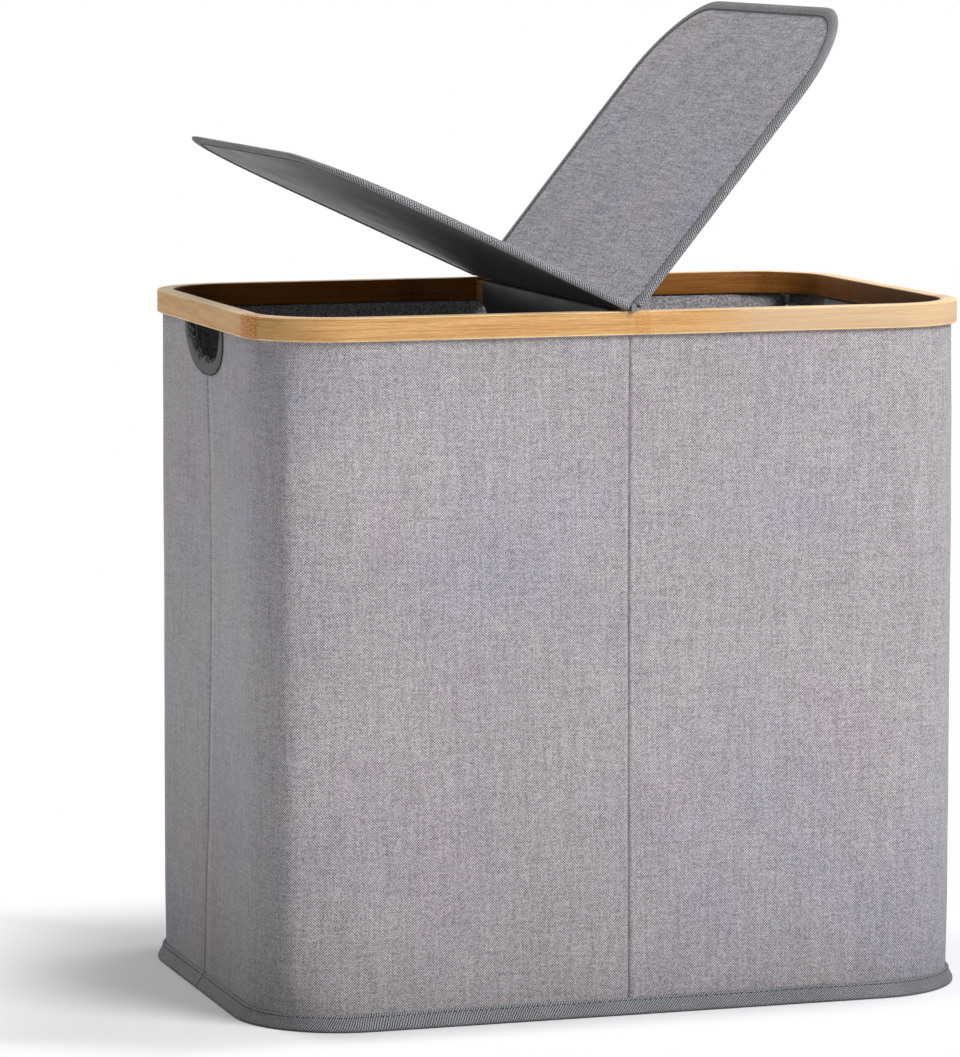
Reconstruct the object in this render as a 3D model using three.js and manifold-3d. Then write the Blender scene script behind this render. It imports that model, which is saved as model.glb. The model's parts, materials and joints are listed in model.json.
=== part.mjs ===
import * as THREE from 'three';
import { mergeVertices } from 'three/addons/utils/BufferGeometryUtils.js';
import Module from 'manifold-3d';

// Laundry hamper with two bins, in millimetres, with +Z up and the front at -Y.
// A bamboo rim and crossbar carry cloth walls, a hanging divider and two lid flaps.
// Four rods in the corners push the rim up off the base boards and keep the walls tight.
// The origin is on the floor, under the middle of the body.

// Clearance between touching pieces, how far a cutter runs past a face, and the steps of arcs
const fit = 0.3;
const overrun = 2;
const arcSteps = 9;
const roundSides = 12;

// Bamboo rim
const rimWidth = 600;
const rimDepth = 400;
const rimTop = 562;
const rimHeight = 18.8;
const rimThickness = 14;
const rimCornerRadius = 74;
const rimEdgeRadius = 1.6;
const rimBottom = rimTop - rimHeight;

// Cloth walls, which stand back from the rim's outer face and end in a groove under it
const wallInset = 4.6;
const shellThickness = 1.6;
const liningThickness = 1;
const grooveDepth = 8;
const liningInset = wallInset + shellThickness + fit;
const insideInset = liningInset + liningThickness;
const wallThickness = insideInset - wallInset;
const wallTop = rimBottom + grooveDepth - fit;

// Hand holes under the rim, measured from its lower face, and the trim round them
const handleWidth = 96;
const handleDrop = 29;
const handleCornerRadius = 26;
const trimWidth = 12;
const trimThickness = 1.2;

// Base: cloth on the floor, a board for each bin and a lining over both boards
const baseClothThickness = 1.5;
const baseBoardThickness = 3;
const baseLiningThickness = 1;
const baseFoldGap = 2;
const wallBottom = baseClothThickness + fit;
const baseLiningBottom = wallBottom + baseBoardThickness + fit;
const floorTop = baseLiningBottom + baseLiningThickness;

// Hem binding, which flares from the wall down to the floor
const hemHeight = 12.5;
const hemOutset = 10;
const hemEdgeHeight = 2.5;
const hemTopThickness = 1.2;

// Corner rods with their sleeves and end caps
const rodRadius = 3;
const capWall = 1.2;
const capHeight = 8;
const sleeveClearance = 0.5;
const sleeveThickness = 0.9;
const sleeveEndGap = 14;
const capRadius = rodRadius + fit + capWall;
const sleeveRadius = rodRadius + sleeveClearance + sleeveThickness;
const rodBottom = floorTop + fit + capWall + fit;
const rodTop = rimBottom - fit - capWall - fit;

// Divider: a board in a cloth sleeve that also goes round the crossbar
const dividerBoardThickness = 2.4;
const dividerClothThickness = 1.4;
const dividerEndGap = 23;
const dividerShoulderDrop = 14;
const hookTapeWidth = 20;
const hookTapeThickness = 1.2;
const dividerDepth = rimDepth - 2 * (rimThickness + dividerEndGap);
const hookTapeTop = floorTop + fit + hookTapeThickness;
const dividerBottom = hookTapeTop + fit;

// Crossbar and the dowels that hold its ends in the rim
const crossbarWidth = 14;
const crossbarTop = rimTop - dividerClothThickness - fit;
const crossbarLength = rimDepth - 2 * (rimThickness + fit);
const crossbarMiddle = (crossbarTop + rimBottom) / 2;
const dowelRadius = 3;
const dowelBarDepth = 12;
const dowelRimShare = 0.85;
const dowelRimDepth = dowelRimShare * (rimThickness - insideInset - fit);

// Lid flaps, hinged along their upper inner edges beside a centre strip
const lidEndSetback = 3.6;
const lidSideOverhang = 5;
const lidSeatGap = 0.5;
const lidBoardThickness = 2.6;
const lidClothThickness = 0.9;
const lidBindingWidth = 10.5;
const lidBindingProud = 0.4;
const hingeHalfGap = 2.4;
const leftLidAngle = 24.8;
const rightLidAngle = 50.6;
const lidThickness = lidBoardThickness + 2 * (fit + lidClothThickness + lidBindingProud);
const lidLength = rimWidth / 2 - lidEndSetback - hingeHalfGap;
const lidDepth = rimDepth + 2 * lidSideOverhang;
const lidCornerRadius = rimCornerRadius;
const hingeHeight = rimTop + lidSeatGap + lidThickness;

const wasm = await Module();
wasm.setup();

const hamper = new THREE.Group();

function finish(colour, roughness, metalness = 0) {
  return () => new THREE.MeshStandardMaterial({ color: colour, roughness, metalness });
}

const bamboo = finish('#dcab6d', 0.5);
const heatherCloth = finish('#aeaab0', 0.95);
const liningCloth = finish('#86838a', 0.95);
const darkCloth = finish('#3a3b3e', 0.8);
const twillTape = finish('#7c7d81', 0.9);
const stiffBoard = finish('#a89878', 0.85);
const rodMetal = finish('#c3c5c8', 0.35, 1);
const capPlastic = finish('#222326', 0.6);

function addMesh(parent, name, geometry, material) {
  const mesh = new THREE.Mesh(geometry, material());
  mesh.name = name;
  parent.add(mesh);
  return mesh;
}

// Solids

function toManifold(geometry) {
  const bare = geometry.clone();
  bare.deleteAttribute('normal');
  bare.deleteAttribute('uv');
  const merged = mergeVertices(bare);
  return new wasm.Manifold(new wasm.Mesh({
    numProp: 3,
    vertProperties: Float32Array.from(merged.attributes.position.array),
    triVerts: Uint32Array.from(merged.index.array),
  }));
}

function fromManifold(manifold) {
  const { vertProperties, triVerts } = manifold.getMesh();
  const geometry = new THREE.BufferGeometry();
  geometry.setAttribute('position', new THREE.BufferAttribute(vertProperties, 3));
  geometry.setIndex(new THREE.BufferAttribute(triVerts, 1));
  geometry.computeVertexNormals();
  return geometry;
}

function cut(geometry, ...tools) {
  let solid = toManifold(geometry);
  for (const tool of tools) {
    solid = solid.subtract(toManifold(tool));
  }
  return fromManifold(solid);
}

// Extrusions of a shape upwards, along X (shape in Y and Z) and along Y (shape in X and Z)

function extrudeUp(shape, bottom, height) {
  const options = { depth: height, bevelEnabled: false, curveSegments: arcSteps / 2 };
  const geometry = new THREE.ExtrudeGeometry(shape, options);
  geometry.translate(0, 0, bottom);
  return geometry;
}

function extrudeAlongX(shape, length) {
  const geometry = extrudeUp(shape, -length / 2, length);
  const y = new THREE.Vector3(0, 1, 0);
  const z = new THREE.Vector3(0, 0, 1);
  const x = new THREE.Vector3(1, 0, 0);
  geometry.applyMatrix4(new THREE.Matrix4().makeBasis(y, z, x));
  return geometry;
}

function extrudeAlongY(shape, length) {
  const geometry = extrudeUp(shape, -length / 2, length);
  geometry.rotateX(Math.PI / 2);
  return geometry;
}

function uprightCylinder(radius, bottom, height) {
  const geometry = new THREE.CylinderGeometry(radius, radius, height, roundSides);
  geometry.rotateX(Math.PI / 2);
  geometry.translate(0, 0, bottom + height / 2);
  return geometry;
}

// Outlines that follow the rim at a distance inside its outer face

function outlineAt(inset) {
  const radius = rimCornerRadius - inset;
  const x = rimWidth / 2 - rimCornerRadius;
  const y = rimDepth / 2 - rimCornerRadius;
  const shape = new THREE.Shape();
  shape.absarc(x, y, radius, 0, Math.PI / 2);
  shape.absarc(-x, y, radius, Math.PI / 2, Math.PI);
  shape.absarc(-x, -y, radius, Math.PI, Math.PI * 1.5);
  shape.absarc(x, -y, radius, Math.PI * 1.5, Math.PI * 2);
  shape.closePath();
  return shape;
}

function quarterPoints(inset, sideX, sideY, halfGap) {
  const radius = rimCornerRadius - inset;
  const x = rimWidth / 2 - rimCornerRadius;
  const y = rimDepth / 2 - rimCornerRadius;
  const arc = new THREE.EllipseCurve(x, y, radius, radius, 0, Math.PI / 2);
  const points = [
    new THREE.Vector2(rimWidth / 2 - inset, fit / 2),
    ...arc.getPoints(arcSteps),
    new THREE.Vector2(halfGap, rimDepth / 2 - inset),
  ];
  return points.map((point) => new THREE.Vector2(point.x * sideX, point.y * sideY));
}

function halfPoints(inset, sideX, halfGap) {
  const back = quarterPoints(inset, sideX, 1, halfGap).reverse();
  return [...back, ...quarterPoints(inset, sideX, -1, halfGap)];
}

function bandBetween(outer, inner) {
  return new THREE.Shape([...outer, ...inner.reverse()]);
}

// Rim, crossbar and dowels

function rimGeometry() {
  const shape = outlineAt(0);
  shape.holes.push(outlineAt(rimThickness));
  const hoop = new THREE.ExtrudeGeometry(shape, {
    depth: rimHeight - 2 * rimEdgeRadius,
    bevelThickness: rimEdgeRadius,
    bevelSize: rimEdgeRadius,
    bevelOffset: -rimEdgeRadius,
    bevelSegments: 2,
    curveSegments: arcSteps / 2,
  });
  hoop.translate(0, 0, rimBottom + rimEdgeRadius);
  const groove = outlineAt(wallInset - fit);
  groove.holes.push(outlineAt(insideInset + fit));
  const grooveCutter = extrudeUp(groove, rimBottom - overrun, grooveDepth + overrun);
  return cut(hoop, grooveCutter, dowelGeometry(-1, fit), dowelGeometry(1, fit));
}

function dowelGeometry(side, grow) {
  const radius = dowelRadius + grow;
  const length = dowelRimDepth + dowelBarDepth + 2 * (grow - fit);
  const middle = crossbarLength / 2 + (dowelRimDepth - dowelBarDepth) / 2;
  const dowel = new THREE.CylinderGeometry(radius, radius, length, roundSides);
  dowel.translate(0, side * middle, crossbarMiddle);
  return dowel;
}

function crossbarGeometry() {
  const bar = new THREE.BoxGeometry(crossbarWidth, crossbarLength, crossbarTop - rimBottom);
  bar.translate(0, 0, crossbarMiddle);
  return cut(bar, dowelGeometry(-1, fit), dowelGeometry(1, fit));
}

function addFrame() {
  addMesh(hamper, 'rim_hoop', rimGeometry(), bamboo);
  addMesh(hamper, 'crossbar', crossbarGeometry(), bamboo);
  addMesh(hamper, 'dowel_front', dowelGeometry(-1, 0), bamboo);
  addMesh(hamper, 'dowel_back', dowelGeometry(1, 0), bamboo);
}

// Hand holes: a U under the rim, in Y and in height from the rim's lower face

function handleShape(grow, top) {
  const halfWidth = handleWidth / 2 + grow;
  const bottom = -handleDrop - grow;
  const radius = Math.min(handleCornerRadius + grow, halfWidth, -bottom);
  const shape = new THREE.Shape();
  shape.moveTo(halfWidth, top);
  shape.lineTo(-halfWidth, top);
  shape.absarc(radius - halfWidth, bottom + radius, radius, Math.PI, Math.PI * 1.5);
  shape.absarc(halfWidth - radius, bottom + radius, radius, Math.PI * 1.5, Math.PI * 2);
  shape.closePath();
  return shape;
}

function handleSolid(grow, top, thickness) {
  const solid = extrudeAlongX(handleShape(grow, top), thickness);
  solid.translate(0, 0, rimBottom);
  return solid;
}

function wallMiddle(side) {
  return side * (rimWidth / 2 - wallInset - wallThickness / 2);
}

function handleCutter(side) {
  const cutter = handleSolid(trimThickness + fit, grooveDepth + overrun, wallThickness + 2 * overrun);
  cutter.translate(wallMiddle(side), 0, 0);
  return cutter;
}

function trimGeometry() {
  const slotThickness = wallThickness + 2 * fit;
  const thickness = slotThickness + 2 * trimThickness;
  const band = handleSolid(trimWidth, -fit, thickness);
  const hole = handleSolid(0, overrun, thickness + 2 * overrun);
  const slot = cut(
    handleSolid(trimWidth + overrun, overrun, slotThickness),
    handleSolid(trimThickness, 2 * overrun, slotThickness + 2 * overrun));
  return cut(band, hole, slot);
}

function addTrims() {
  for (const [side, word] of [[-1, 'left'], [1, 'right']]) {
    const trim = addMesh(hamper, `handle_trim_${word}`, trimGeometry(), twillTape);
    trim.position.x = wallMiddle(side);
  }
}

// Walls: four shell panels that meet at seams, and a lining for each bin

const corners = [
  [-1, -1, 'front_left'],
  [1, -1, 'front_right'],
  [-1, 1, 'back_left'],
  [1, 1, 'back_right'],
];

function addWalls() {
  const seam = fit / 2;
  for (const [sideX, sideY, word] of corners) {
    const outer = quarterPoints(wallInset, sideX, sideY, seam);
    const inner = quarterPoints(wallInset + shellThickness, sideX, sideY, seam);
    const panel = extrudeUp(bandBetween(outer, inner), wallBottom, wallTop - wallBottom);
    addMesh(hamper, `shell_${word}`, cut(panel, handleCutter(sideX)), heatherCloth);
  }
  for (const [sideX, word] of [[-1, 'left'], [1, 'right']]) {
    const outer = halfPoints(liningInset, sideX, seam);
    const inner = halfPoints(insideInset, sideX, seam);
    const lining = extrudeUp(bandBetween(outer, inner), wallBottom, wallTop - wallBottom);
    addMesh(hamper, `lining_${word}`, cut(lining, handleCutter(sideX)), liningCloth);
  }
}

// Base and hem

function hemGeometry() {
  const flare = hemOutset - hemTopThickness - fit;
  const solid = new THREE.ExtrudeGeometry(outlineAt(wallInset - hemOutset), {
    depth: 2 * hemEdgeHeight,
    bevelThickness: hemHeight - hemEdgeHeight,
    bevelSize: flare,
    bevelOffset: -flare,
    bevelSegments: 1,
    curveSegments: arcSteps / 2,
  });
  solid.translate(0, 0, -hemEdgeHeight);
  const below = extrudeUp(outlineAt(wallInset - hemOutset - overrun), -2 * hemHeight, 2 * hemHeight);
  const inside = extrudeUp(outlineAt(wallInset - fit), -hemHeight, 3 * hemHeight);
  return cut(solid, below, inside);
}

function addBase() {
  const boardInset = insideInset + fit;
  const cloth = extrudeUp(outlineAt(wallInset), 0, baseClothThickness);
  addMesh(hamper, 'base_cloth', cloth, liningCloth);
  for (const [side, word] of [[-1, 'left'], [1, 'right']]) {
    const shape = new THREE.Shape(halfPoints(boardInset, side, baseFoldGap / 2));
    const board = extrudeUp(shape, wallBottom, baseBoardThickness);
    addMesh(hamper, `base_board_${word}`, board, stiffBoard);
  }
  const lining = extrudeUp(outlineAt(boardInset), baseLiningBottom, baseLiningThickness);
  addMesh(hamper, 'base_lining', lining, liningCloth);
  addMesh(hamper, 'hem_binding', hemGeometry(), twillTape);
}

// Corner rods

function rodPlace(sideX, sideY) {
  const room = Math.max(capRadius, sleeveRadius);
  const along = (rimCornerRadius - insideInset - fit - room) * Math.SQRT1_2;
  const x = rimWidth / 2 - rimCornerRadius + along;
  const y = rimDepth / 2 - rimCornerRadius + along;
  return [sideX * x, sideY * y];
}

function capGeometry() {
  const bore = uprightCylinder(rodRadius + fit, capWall, capHeight);
  return cut(uprightCylinder(capRadius, 0, capHeight), bore);
}

function sleeveGeometry() {
  const shape = new THREE.Shape();
  shape.absarc(0, 0, sleeveRadius, 0, Math.PI * 2);
  const hole = new THREE.Path();
  hole.absarc(0, 0, rodRadius + sleeveClearance, 0, Math.PI * 2);
  shape.holes.push(hole);
  const bottom = floorTop + capHeight + sleeveEndGap;
  const top = rimBottom - capHeight - sleeveEndGap;
  return extrudeUp(shape, bottom, top - bottom);
}

function addRods() {
  for (const [sideX, sideY, word] of corners) {
    const [x, y] = rodPlace(sideX, sideY);
    const rod = uprightCylinder(rodRadius, rodBottom, rodTop - rodBottom);
    addMesh(hamper, `corner_rod_${word}`, rod, rodMetal).position.set(x, y, 0);
    addMesh(hamper, `rod_sleeve_${word}`, sleeveGeometry(), liningCloth).position.set(x, y, 0);
    const foot = addMesh(hamper, `rod_foot_${word}`, capGeometry(), capPlastic);
    foot.position.set(x, y, floorTop + fit);
    const cap = addMesh(hamper, `rod_cap_${word}`, capGeometry(), capPlastic);
    cap.position.set(x, y, rimBottom - fit);
    cap.rotation.x = Math.PI;
  }
}

// Divider

function dividerProfile(halfBar, halfBoard, top, bottom) {
  const shoulder = rimBottom - fit;
  const right = [
    new THREE.Vector2(halfBoard, bottom),
    new THREE.Vector2(halfBoard, shoulder - dividerShoulderDrop),
    new THREE.Vector2(halfBar, shoulder),
    new THREE.Vector2(halfBar, top),
  ];
  const left = right.map((point) => new THREE.Vector2(-point.x, point.y)).reverse();
  return [...right, ...left];
}

function addDivider() {
  const cloth = dividerClothThickness;
  const halfBar = crossbarWidth / 2 + fit;
  const halfBoard = dividerBoardThickness / 2 + fit;
  const outer = dividerProfile(halfBar + cloth, halfBoard + cloth, rimTop, dividerBottom);
  const inner = dividerProfile(halfBar, halfBoard, crossbarTop + fit, dividerBottom + cloth);
  const shape = new THREE.Shape(outer);
  shape.holes.push(new THREE.Path(inner));
  addMesh(hamper, 'divider_cover', extrudeAlongY(shape, dividerDepth), darkCloth);

  const bottom = dividerBottom + cloth + fit;
  const height = rimBottom - fit - bottom;
  const board = new THREE.BoxGeometry(dividerBoardThickness, dividerDepth, height);
  board.translate(0, 0, bottom + height / 2);
  addMesh(hamper, 'divider_board', board, stiffBoard);

  const tape = new THREE.BoxGeometry(hookTapeWidth, dividerDepth, hookTapeThickness);
  tape.translate(0, 0, hookTapeTop - hookTapeThickness / 2);
  addMesh(hamper, 'divider_hook_tape', tape, darkCloth);
}

// Lid flaps, built closed beside their hinge line and then raised about it

function lidPoints(inset, side, hingeEnd) {
  const radius = lidCornerRadius - inset;
  const x = lidLength - lidCornerRadius;
  const y = lidDepth / 2 - lidCornerRadius;
  const near = new THREE.EllipseCurve(x, -y, radius, radius, -Math.PI / 2, 0);
  const far = new THREE.EllipseCurve(x, y, radius, radius, 0, Math.PI / 2);
  const points = [
    new THREE.Vector2(hingeEnd, inset - lidDepth / 2),
    ...near.getPoints(arcSteps),
    ...far.getPoints(arcSteps),
    new THREE.Vector2(hingeEnd, lidDepth / 2 - inset),
  ];
  return points.map((point) => new THREE.Vector2(point.x * side, point.y));
}

function lidBindingGeometry(side) {
  const band = bandBetween(lidPoints(0, side, 0), lidPoints(lidBindingWidth, side, 0));
  const slot = new THREE.Shape(lidPoints(lidClothThickness, side, -overrun));
  const slotHeight = lidBoardThickness + 2 * fit;
  return cut(
    extrudeUp(band, -lidThickness, lidThickness),
    extrudeUp(slot, -(lidThickness + slotHeight) / 2, slotHeight));
}

function addLid(side, word, angle) {
  const lid = new THREE.Group();
  lid.position.set(side * hingeHalfGap, 0, hingeHeight);
  lid.rotation.y = -side * THREE.MathUtils.degToRad(angle);
  hamper.add(lid);

  const boardInset = lidClothThickness + fit;
  const boardShape = new THREE.Shape(lidPoints(boardInset, side, boardInset));
  const boardBottom = -(lidThickness + lidBoardThickness) / 2;
  const board = extrudeUp(boardShape, boardBottom, lidBoardThickness);
  addMesh(lid, `lid_${word}_board`, board, stiffBoard);

  const clothShape = new THREE.Shape(lidPoints(lidBindingWidth + fit, side, 0));
  const coverBottom = -lidBindingProud - lidClothThickness;
  const cover = extrudeUp(clothShape, coverBottom, lidClothThickness);
  addMesh(lid, `lid_${word}_cover`, cover, heatherCloth);
  const lining = extrudeUp(clothShape, lidBindingProud - lidThickness, lidClothThickness);
  addMesh(lid, `lid_${word}_lining`, lining, darkCloth);
  addMesh(lid, `lid_${word}_binding`, lidBindingGeometry(side), twillTape);
}

function addCentreStrip() {
  const bottom = rimTop + fit;
  const height = hingeHeight - bottom;
  const strip = new THREE.BoxGeometry(2 * (hingeHalfGap - fit), lidDepth, height);
  strip.translate(0, 0, bottom + height / 2);
  addMesh(hamper, 'lid_centre_strip', strip, twillTape);
}

addFrame();
addWalls();
addTrims();
addBase();
addRods();
addDivider();
addCentreStrip();
addLid(-1, 'left', leftLidAngle);
addLid(1, 'right', rightLidAngle);

export default hamper;
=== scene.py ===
import json
import math

import bmesh
import bpy
import numpy as np
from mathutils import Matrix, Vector, noise


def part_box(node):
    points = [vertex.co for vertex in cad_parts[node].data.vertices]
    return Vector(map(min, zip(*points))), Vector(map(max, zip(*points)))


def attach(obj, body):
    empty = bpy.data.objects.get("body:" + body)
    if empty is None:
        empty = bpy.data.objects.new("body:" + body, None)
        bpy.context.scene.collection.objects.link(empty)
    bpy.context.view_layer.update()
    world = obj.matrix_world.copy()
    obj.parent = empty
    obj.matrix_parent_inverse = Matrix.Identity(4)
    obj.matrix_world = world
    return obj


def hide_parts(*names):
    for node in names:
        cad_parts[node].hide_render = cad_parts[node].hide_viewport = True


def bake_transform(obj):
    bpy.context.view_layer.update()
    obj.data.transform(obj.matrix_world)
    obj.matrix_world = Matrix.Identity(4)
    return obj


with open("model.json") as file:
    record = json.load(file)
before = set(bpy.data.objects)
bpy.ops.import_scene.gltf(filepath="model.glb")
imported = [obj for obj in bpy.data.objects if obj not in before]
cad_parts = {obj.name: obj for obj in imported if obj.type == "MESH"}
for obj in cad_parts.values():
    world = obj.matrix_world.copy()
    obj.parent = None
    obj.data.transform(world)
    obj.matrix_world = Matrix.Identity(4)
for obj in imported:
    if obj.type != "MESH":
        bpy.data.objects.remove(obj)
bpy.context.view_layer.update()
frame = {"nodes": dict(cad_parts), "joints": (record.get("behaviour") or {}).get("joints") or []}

# The looks of a two-bin laundry hamper: cloth walls on a bamboo rim, with two lid flaps.
# Lengths are in millimetres until a mesh is made, and then in metres.
MM = 0.001


def span(node):
    """Lowest and highest corner of a CAD node, in millimetres."""
    low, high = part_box(node)
    return np.array(low) / MM, np.array(high) / MM


# Sizes that the frame gives
RIM_LOW, RIM_HIGH = span("rim_hoop")
HALF_X, HALF_Y, RIM_TOP = RIM_HIGH
RIM_BOTTOM = RIM_LOW[2]
WALL_LOW, WALL_HIGH = span("shell_front_left")
WALL_BOTTOM, WALL_TOP = WALL_LOW[2], WALL_HIGH[2]
WALL_INSET = HALF_X + WALL_LOW[0]
LINING_INSET = HALF_X + span("lining_left")[0][0]
HINGES = {joint["child"]: joint for joint in frame["joints"]}

# Sizes of the cloth and bamboo that the frame doesn't give
RIM_THICKNESS = 14.0
RIM_RADIUS = 74.0
RIM_EDGE = 1.2
GROOVE_DEPTH = 8.0
GROOVE_CLEARANCE = 0.3
CLOTH = 1.2
LINING = 0.8
LINING_SPACE = 1.0
WALL_RADIUS = RIM_RADIUS - WALL_INSET
BASE_INSET = 3.1
BASE_RADIUS = 74.0


# Mesh tools

# Points nearer to each other than this become one
MERGE_DISTANCE = 0.001


def smooth_mesh(obj, angle=50):
    mesh = obj.data
    mesh.polygons.foreach_set("use_smooth", [True] * len(mesh.polygons))
    mesh.set_sharp_from_angle(angle=math.radians(angle))
    mesh.update()


def new_object(name, verts, faces, loop_uvs=None, material=None, angle=50):
    mesh = bpy.data.meshes.new(name)
    mesh.from_pydata([tuple(v) for v in np.asarray(verts) * MM], [], faces)
    if loop_uvs is not None:
        layer = mesh.uv_layers.new(name="cut")
        layer.data.foreach_set("uv", (np.asarray(loop_uvs) * MM).astype(np.float32).ravel())
    obj = bpy.data.objects.new(name, mesh)
    bpy.context.scene.collection.objects.link(obj)
    if material is not None:
        mesh.materials.append(material)
    smooth_mesh(obj, angle)
    return obj


class Sheets:
    """Collects grids of points into one mesh, with a UV in millimetres for each corner."""

    def __init__(self):
        self.verts = []
        self.faces = []
        self.uvs = []

    def grid(self, points, uv, wrap_u=False, wrap_v=False, flip=False):
        """points (nu, nv, 3); uv has one more row or column where the grid wraps."""
        nu, nv = points.shape[:2]
        base = len(self.verts)
        self.verts.extend(points.reshape(-1, 3))
        for i in range(nu if wrap_u else nu - 1):
            for j in range(nv if wrap_v else nv - 1):
                steps = [(i, j), (i + 1, j), (i + 1, j + 1), (i, j + 1)]
                if flip:
                    steps.reverse()
                self.faces.append([base + (a % nu) * nv + b % nv for a, b in steps])
                self.uvs.extend(uv[a, b] for a, b in steps)
        return base

    def face(self, corners, uv):
        self.faces.append(list(corners))
        self.uvs.extend(uv)

    def make(self, name, material, angle=50, merge=True):
        obj = new_object(name, np.array(self.verts), self.faces, self.uvs, material, angle)
        if merge:
            mesh = bmesh.new()
            mesh.from_mesh(obj.data)
            bmesh.ops.remove_doubles(mesh, verts=mesh.verts, dist=MERGE_DISTANCE * MM)
            bmesh.ops.recalc_face_normals(mesh, faces=mesh.faces)
            mesh.to_mesh(obj.data)
            mesh.free()
            smooth_mesh(obj, angle)
        return obj


def lengths(points):
    """Distance along a row of points, from its start."""
    steps = np.linalg.norm(np.diff(points, axis=0), axis=1)
    return np.concatenate([[0], np.cumsum(steps)])


def round_lengths(points):
    """Distance along a closed row of points, from its start and back to it."""
    return lengths(np.vstack([points, points[:1]]))


def uv_grid(along, across):
    u, v = np.meshgrid(along, across, indexing="ij")
    return np.stack([u, v], axis=-1)


def sweep(sheets, rings, along):
    """Joins rings (n, m, 3), each a closed section, into a tube with capped ends."""
    across = round_lengths(rings[len(rings) // 2])
    base = sheets.grid(rings, uv_grid(along, across), wrap_v=True)
    count = rings.shape[1]
    for start in (base, base + (len(rings) - 1) * count):
        sheets.face(range(start, start + count), [(0.0, place) for place in across[:-1]])


def tube(name, material, angle, rings, along):
    """One piece of closed sections (n, m, 3), with its length along them for each."""
    sheets = Sheets()
    sweep(sheets, np.array(rings), along)
    return sheets.make(name, material, angle)


def slab(name, material, angle, top, bottom, uv):
    """A closed sheet between two grids of the same shape (nu, nv, 3)."""
    sheets = Sheets()
    sheets.grid(top, uv)
    sheets.grid(bottom, uv, flip=True)
    for edge in (0, -1, (slice(None), 0), (slice(None), -1)):
        strip = np.stack([top[edge], bottom[edge]], axis=1)
        sheets.grid(strip, np.stack([uv[edge], uv[edge] + [0, 1]], axis=1))
    return sheets.make(name, material, angle)


def upright(section, y):
    """The points (x, z) of a section, set at one place along Y."""
    section = np.array(section)
    return np.column_stack([section[:, 0], np.full(len(section), y), section[:, 1]])


def ripple(point, size, seed):
    """Smooth noise from -1 to 1 over lengths of about size millimetres."""
    return noise.noise(Vector(point) / size + Vector((seed, 2.3 * seed, 5.1 * seed)))


def arc(centre, radius, start, end, steps):
    """Points of an arc in a plane, with angles in degrees."""
    angles = np.radians(np.linspace(start, end, steps + 1))
    return np.stack([centre[0] + radius * np.cos(angles), centre[1] + radius * np.sin(angles)], axis=1)


def unit(rows):
    """Each row of a table made one long."""
    return rows / np.linalg.norm(rows, axis=-1)[..., None]


def cut_away(obj, cutter):
    """Takes the cutter out of the object and deletes the cutter."""
    modifier = obj.modifiers.new("cut", "BOOLEAN")
    modifier.operation = "DIFFERENCE"
    modifier.solver = "EXACT"
    modifier.object = cutter
    bpy.context.view_layer.update()
    shown = obj.evaluated_get(bpy.context.evaluated_depsgraph_get())
    mesh = bpy.data.meshes.new_from_object(shown)
    obj.modifiers.clear()
    obj.data = mesh
    bpy.data.objects.remove(cutter)
    smooth_mesh(obj)


# Outlines: a station says where a point of the rounded rectangle lies and which way it faces

SEAM_STEPS = np.array([0, 0.5, 1.0, 1.6, 2.4, 3.6, 5.5, 8.5, 13.0, 20.0])


def straight_shares(length, steps):
    """Shares of a straight side from its middle, finer by the seam there."""
    rest = np.linspace(SEAM_STEPS[-1], length, steps + 1)[1:]
    return np.concatenate([SEAM_STEPS, rest]) / length


def quarter_stations(side_x, side_y, arc_steps=42, straight_steps=12):
    """Stations from the middle of a side wall round one corner to the front or back middle."""
    length_y, length_x = HALF_Y - RIM_RADIUS, HALF_X - RIM_RADIUS
    rows = [(1.0, s, 1.0, 0.0) for s in straight_shares(length_y, straight_steps)]
    for angle in np.radians(np.linspace(0, 90, arc_steps + 1)[1:-1]):
        rows.append((1.0, 1.0, math.cos(angle), math.sin(angle)))
    rows += [(s, 1.0, 0.0, 1.0) for s in straight_shares(length_x, 2 * straight_steps)[::-1]]
    return np.array(rows) * np.array([side_x, side_y, side_x, side_y])


def loop_stations(arc_steps, straight_steps):
    """Stations all round, counter-clockwise from the middle of the left side."""
    rows = []
    for side_x, side_y, turned in ((-1, -1, False), (1, -1, True), (1, 1, False), (-1, 1, True)):
        quarter = quarter_stations(side_x, side_y, arc_steps, straight_steps)
        rows.extend((quarter[::-1] if turned else quarter)[:-1])
    return np.array(rows)


def place(stations, half_x, half_y, radius):
    """Points (n, 2) of the stations on a rounded rectangle."""
    x = (half_x - radius) * stations[:, 0] + radius * stations[:, 2]
    y = (half_y - radius) * stations[:, 1] + radius * stations[:, 3]
    return np.stack([x, y], axis=1)


# Material tools

def linear(colour):
    """Linear values of a colour given as 0 to 255 in sRGB."""
    shares = [c / 255 for c in colour]
    return tuple(c / 12.92 if c <= 0.04045 else ((c + 0.055) / 1.055) ** 2.4 for c in shares) + (1.0,)


def feed(tree, socket, value):
    """Links an input to a varying value or to another socket, or sets it to a plain value or colour."""
    if isinstance(value, Value):
        value = value.socket
    if isinstance(value, bpy.types.NodeSocket):
        tree.links.new(value, socket)
    elif socket.type == "RGBA":
        socket.default_value = linear(value)
    else:
        socket.default_value = value


def add_node(tree, kind, settings=None, numbered=(), **named):
    """A new shader node, with its inputs fed in order or by name."""
    made = tree.nodes.new("ShaderNode" + kind)
    for key, value in (settings or {}).items():
        setattr(made, key, value)
    for socket, value in zip(made.inputs, numbered):
        feed(tree, socket, value)
    for key, value in named.items():
        feed(tree, made.inputs[key.replace("_", " ")], value)
    return made


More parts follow.
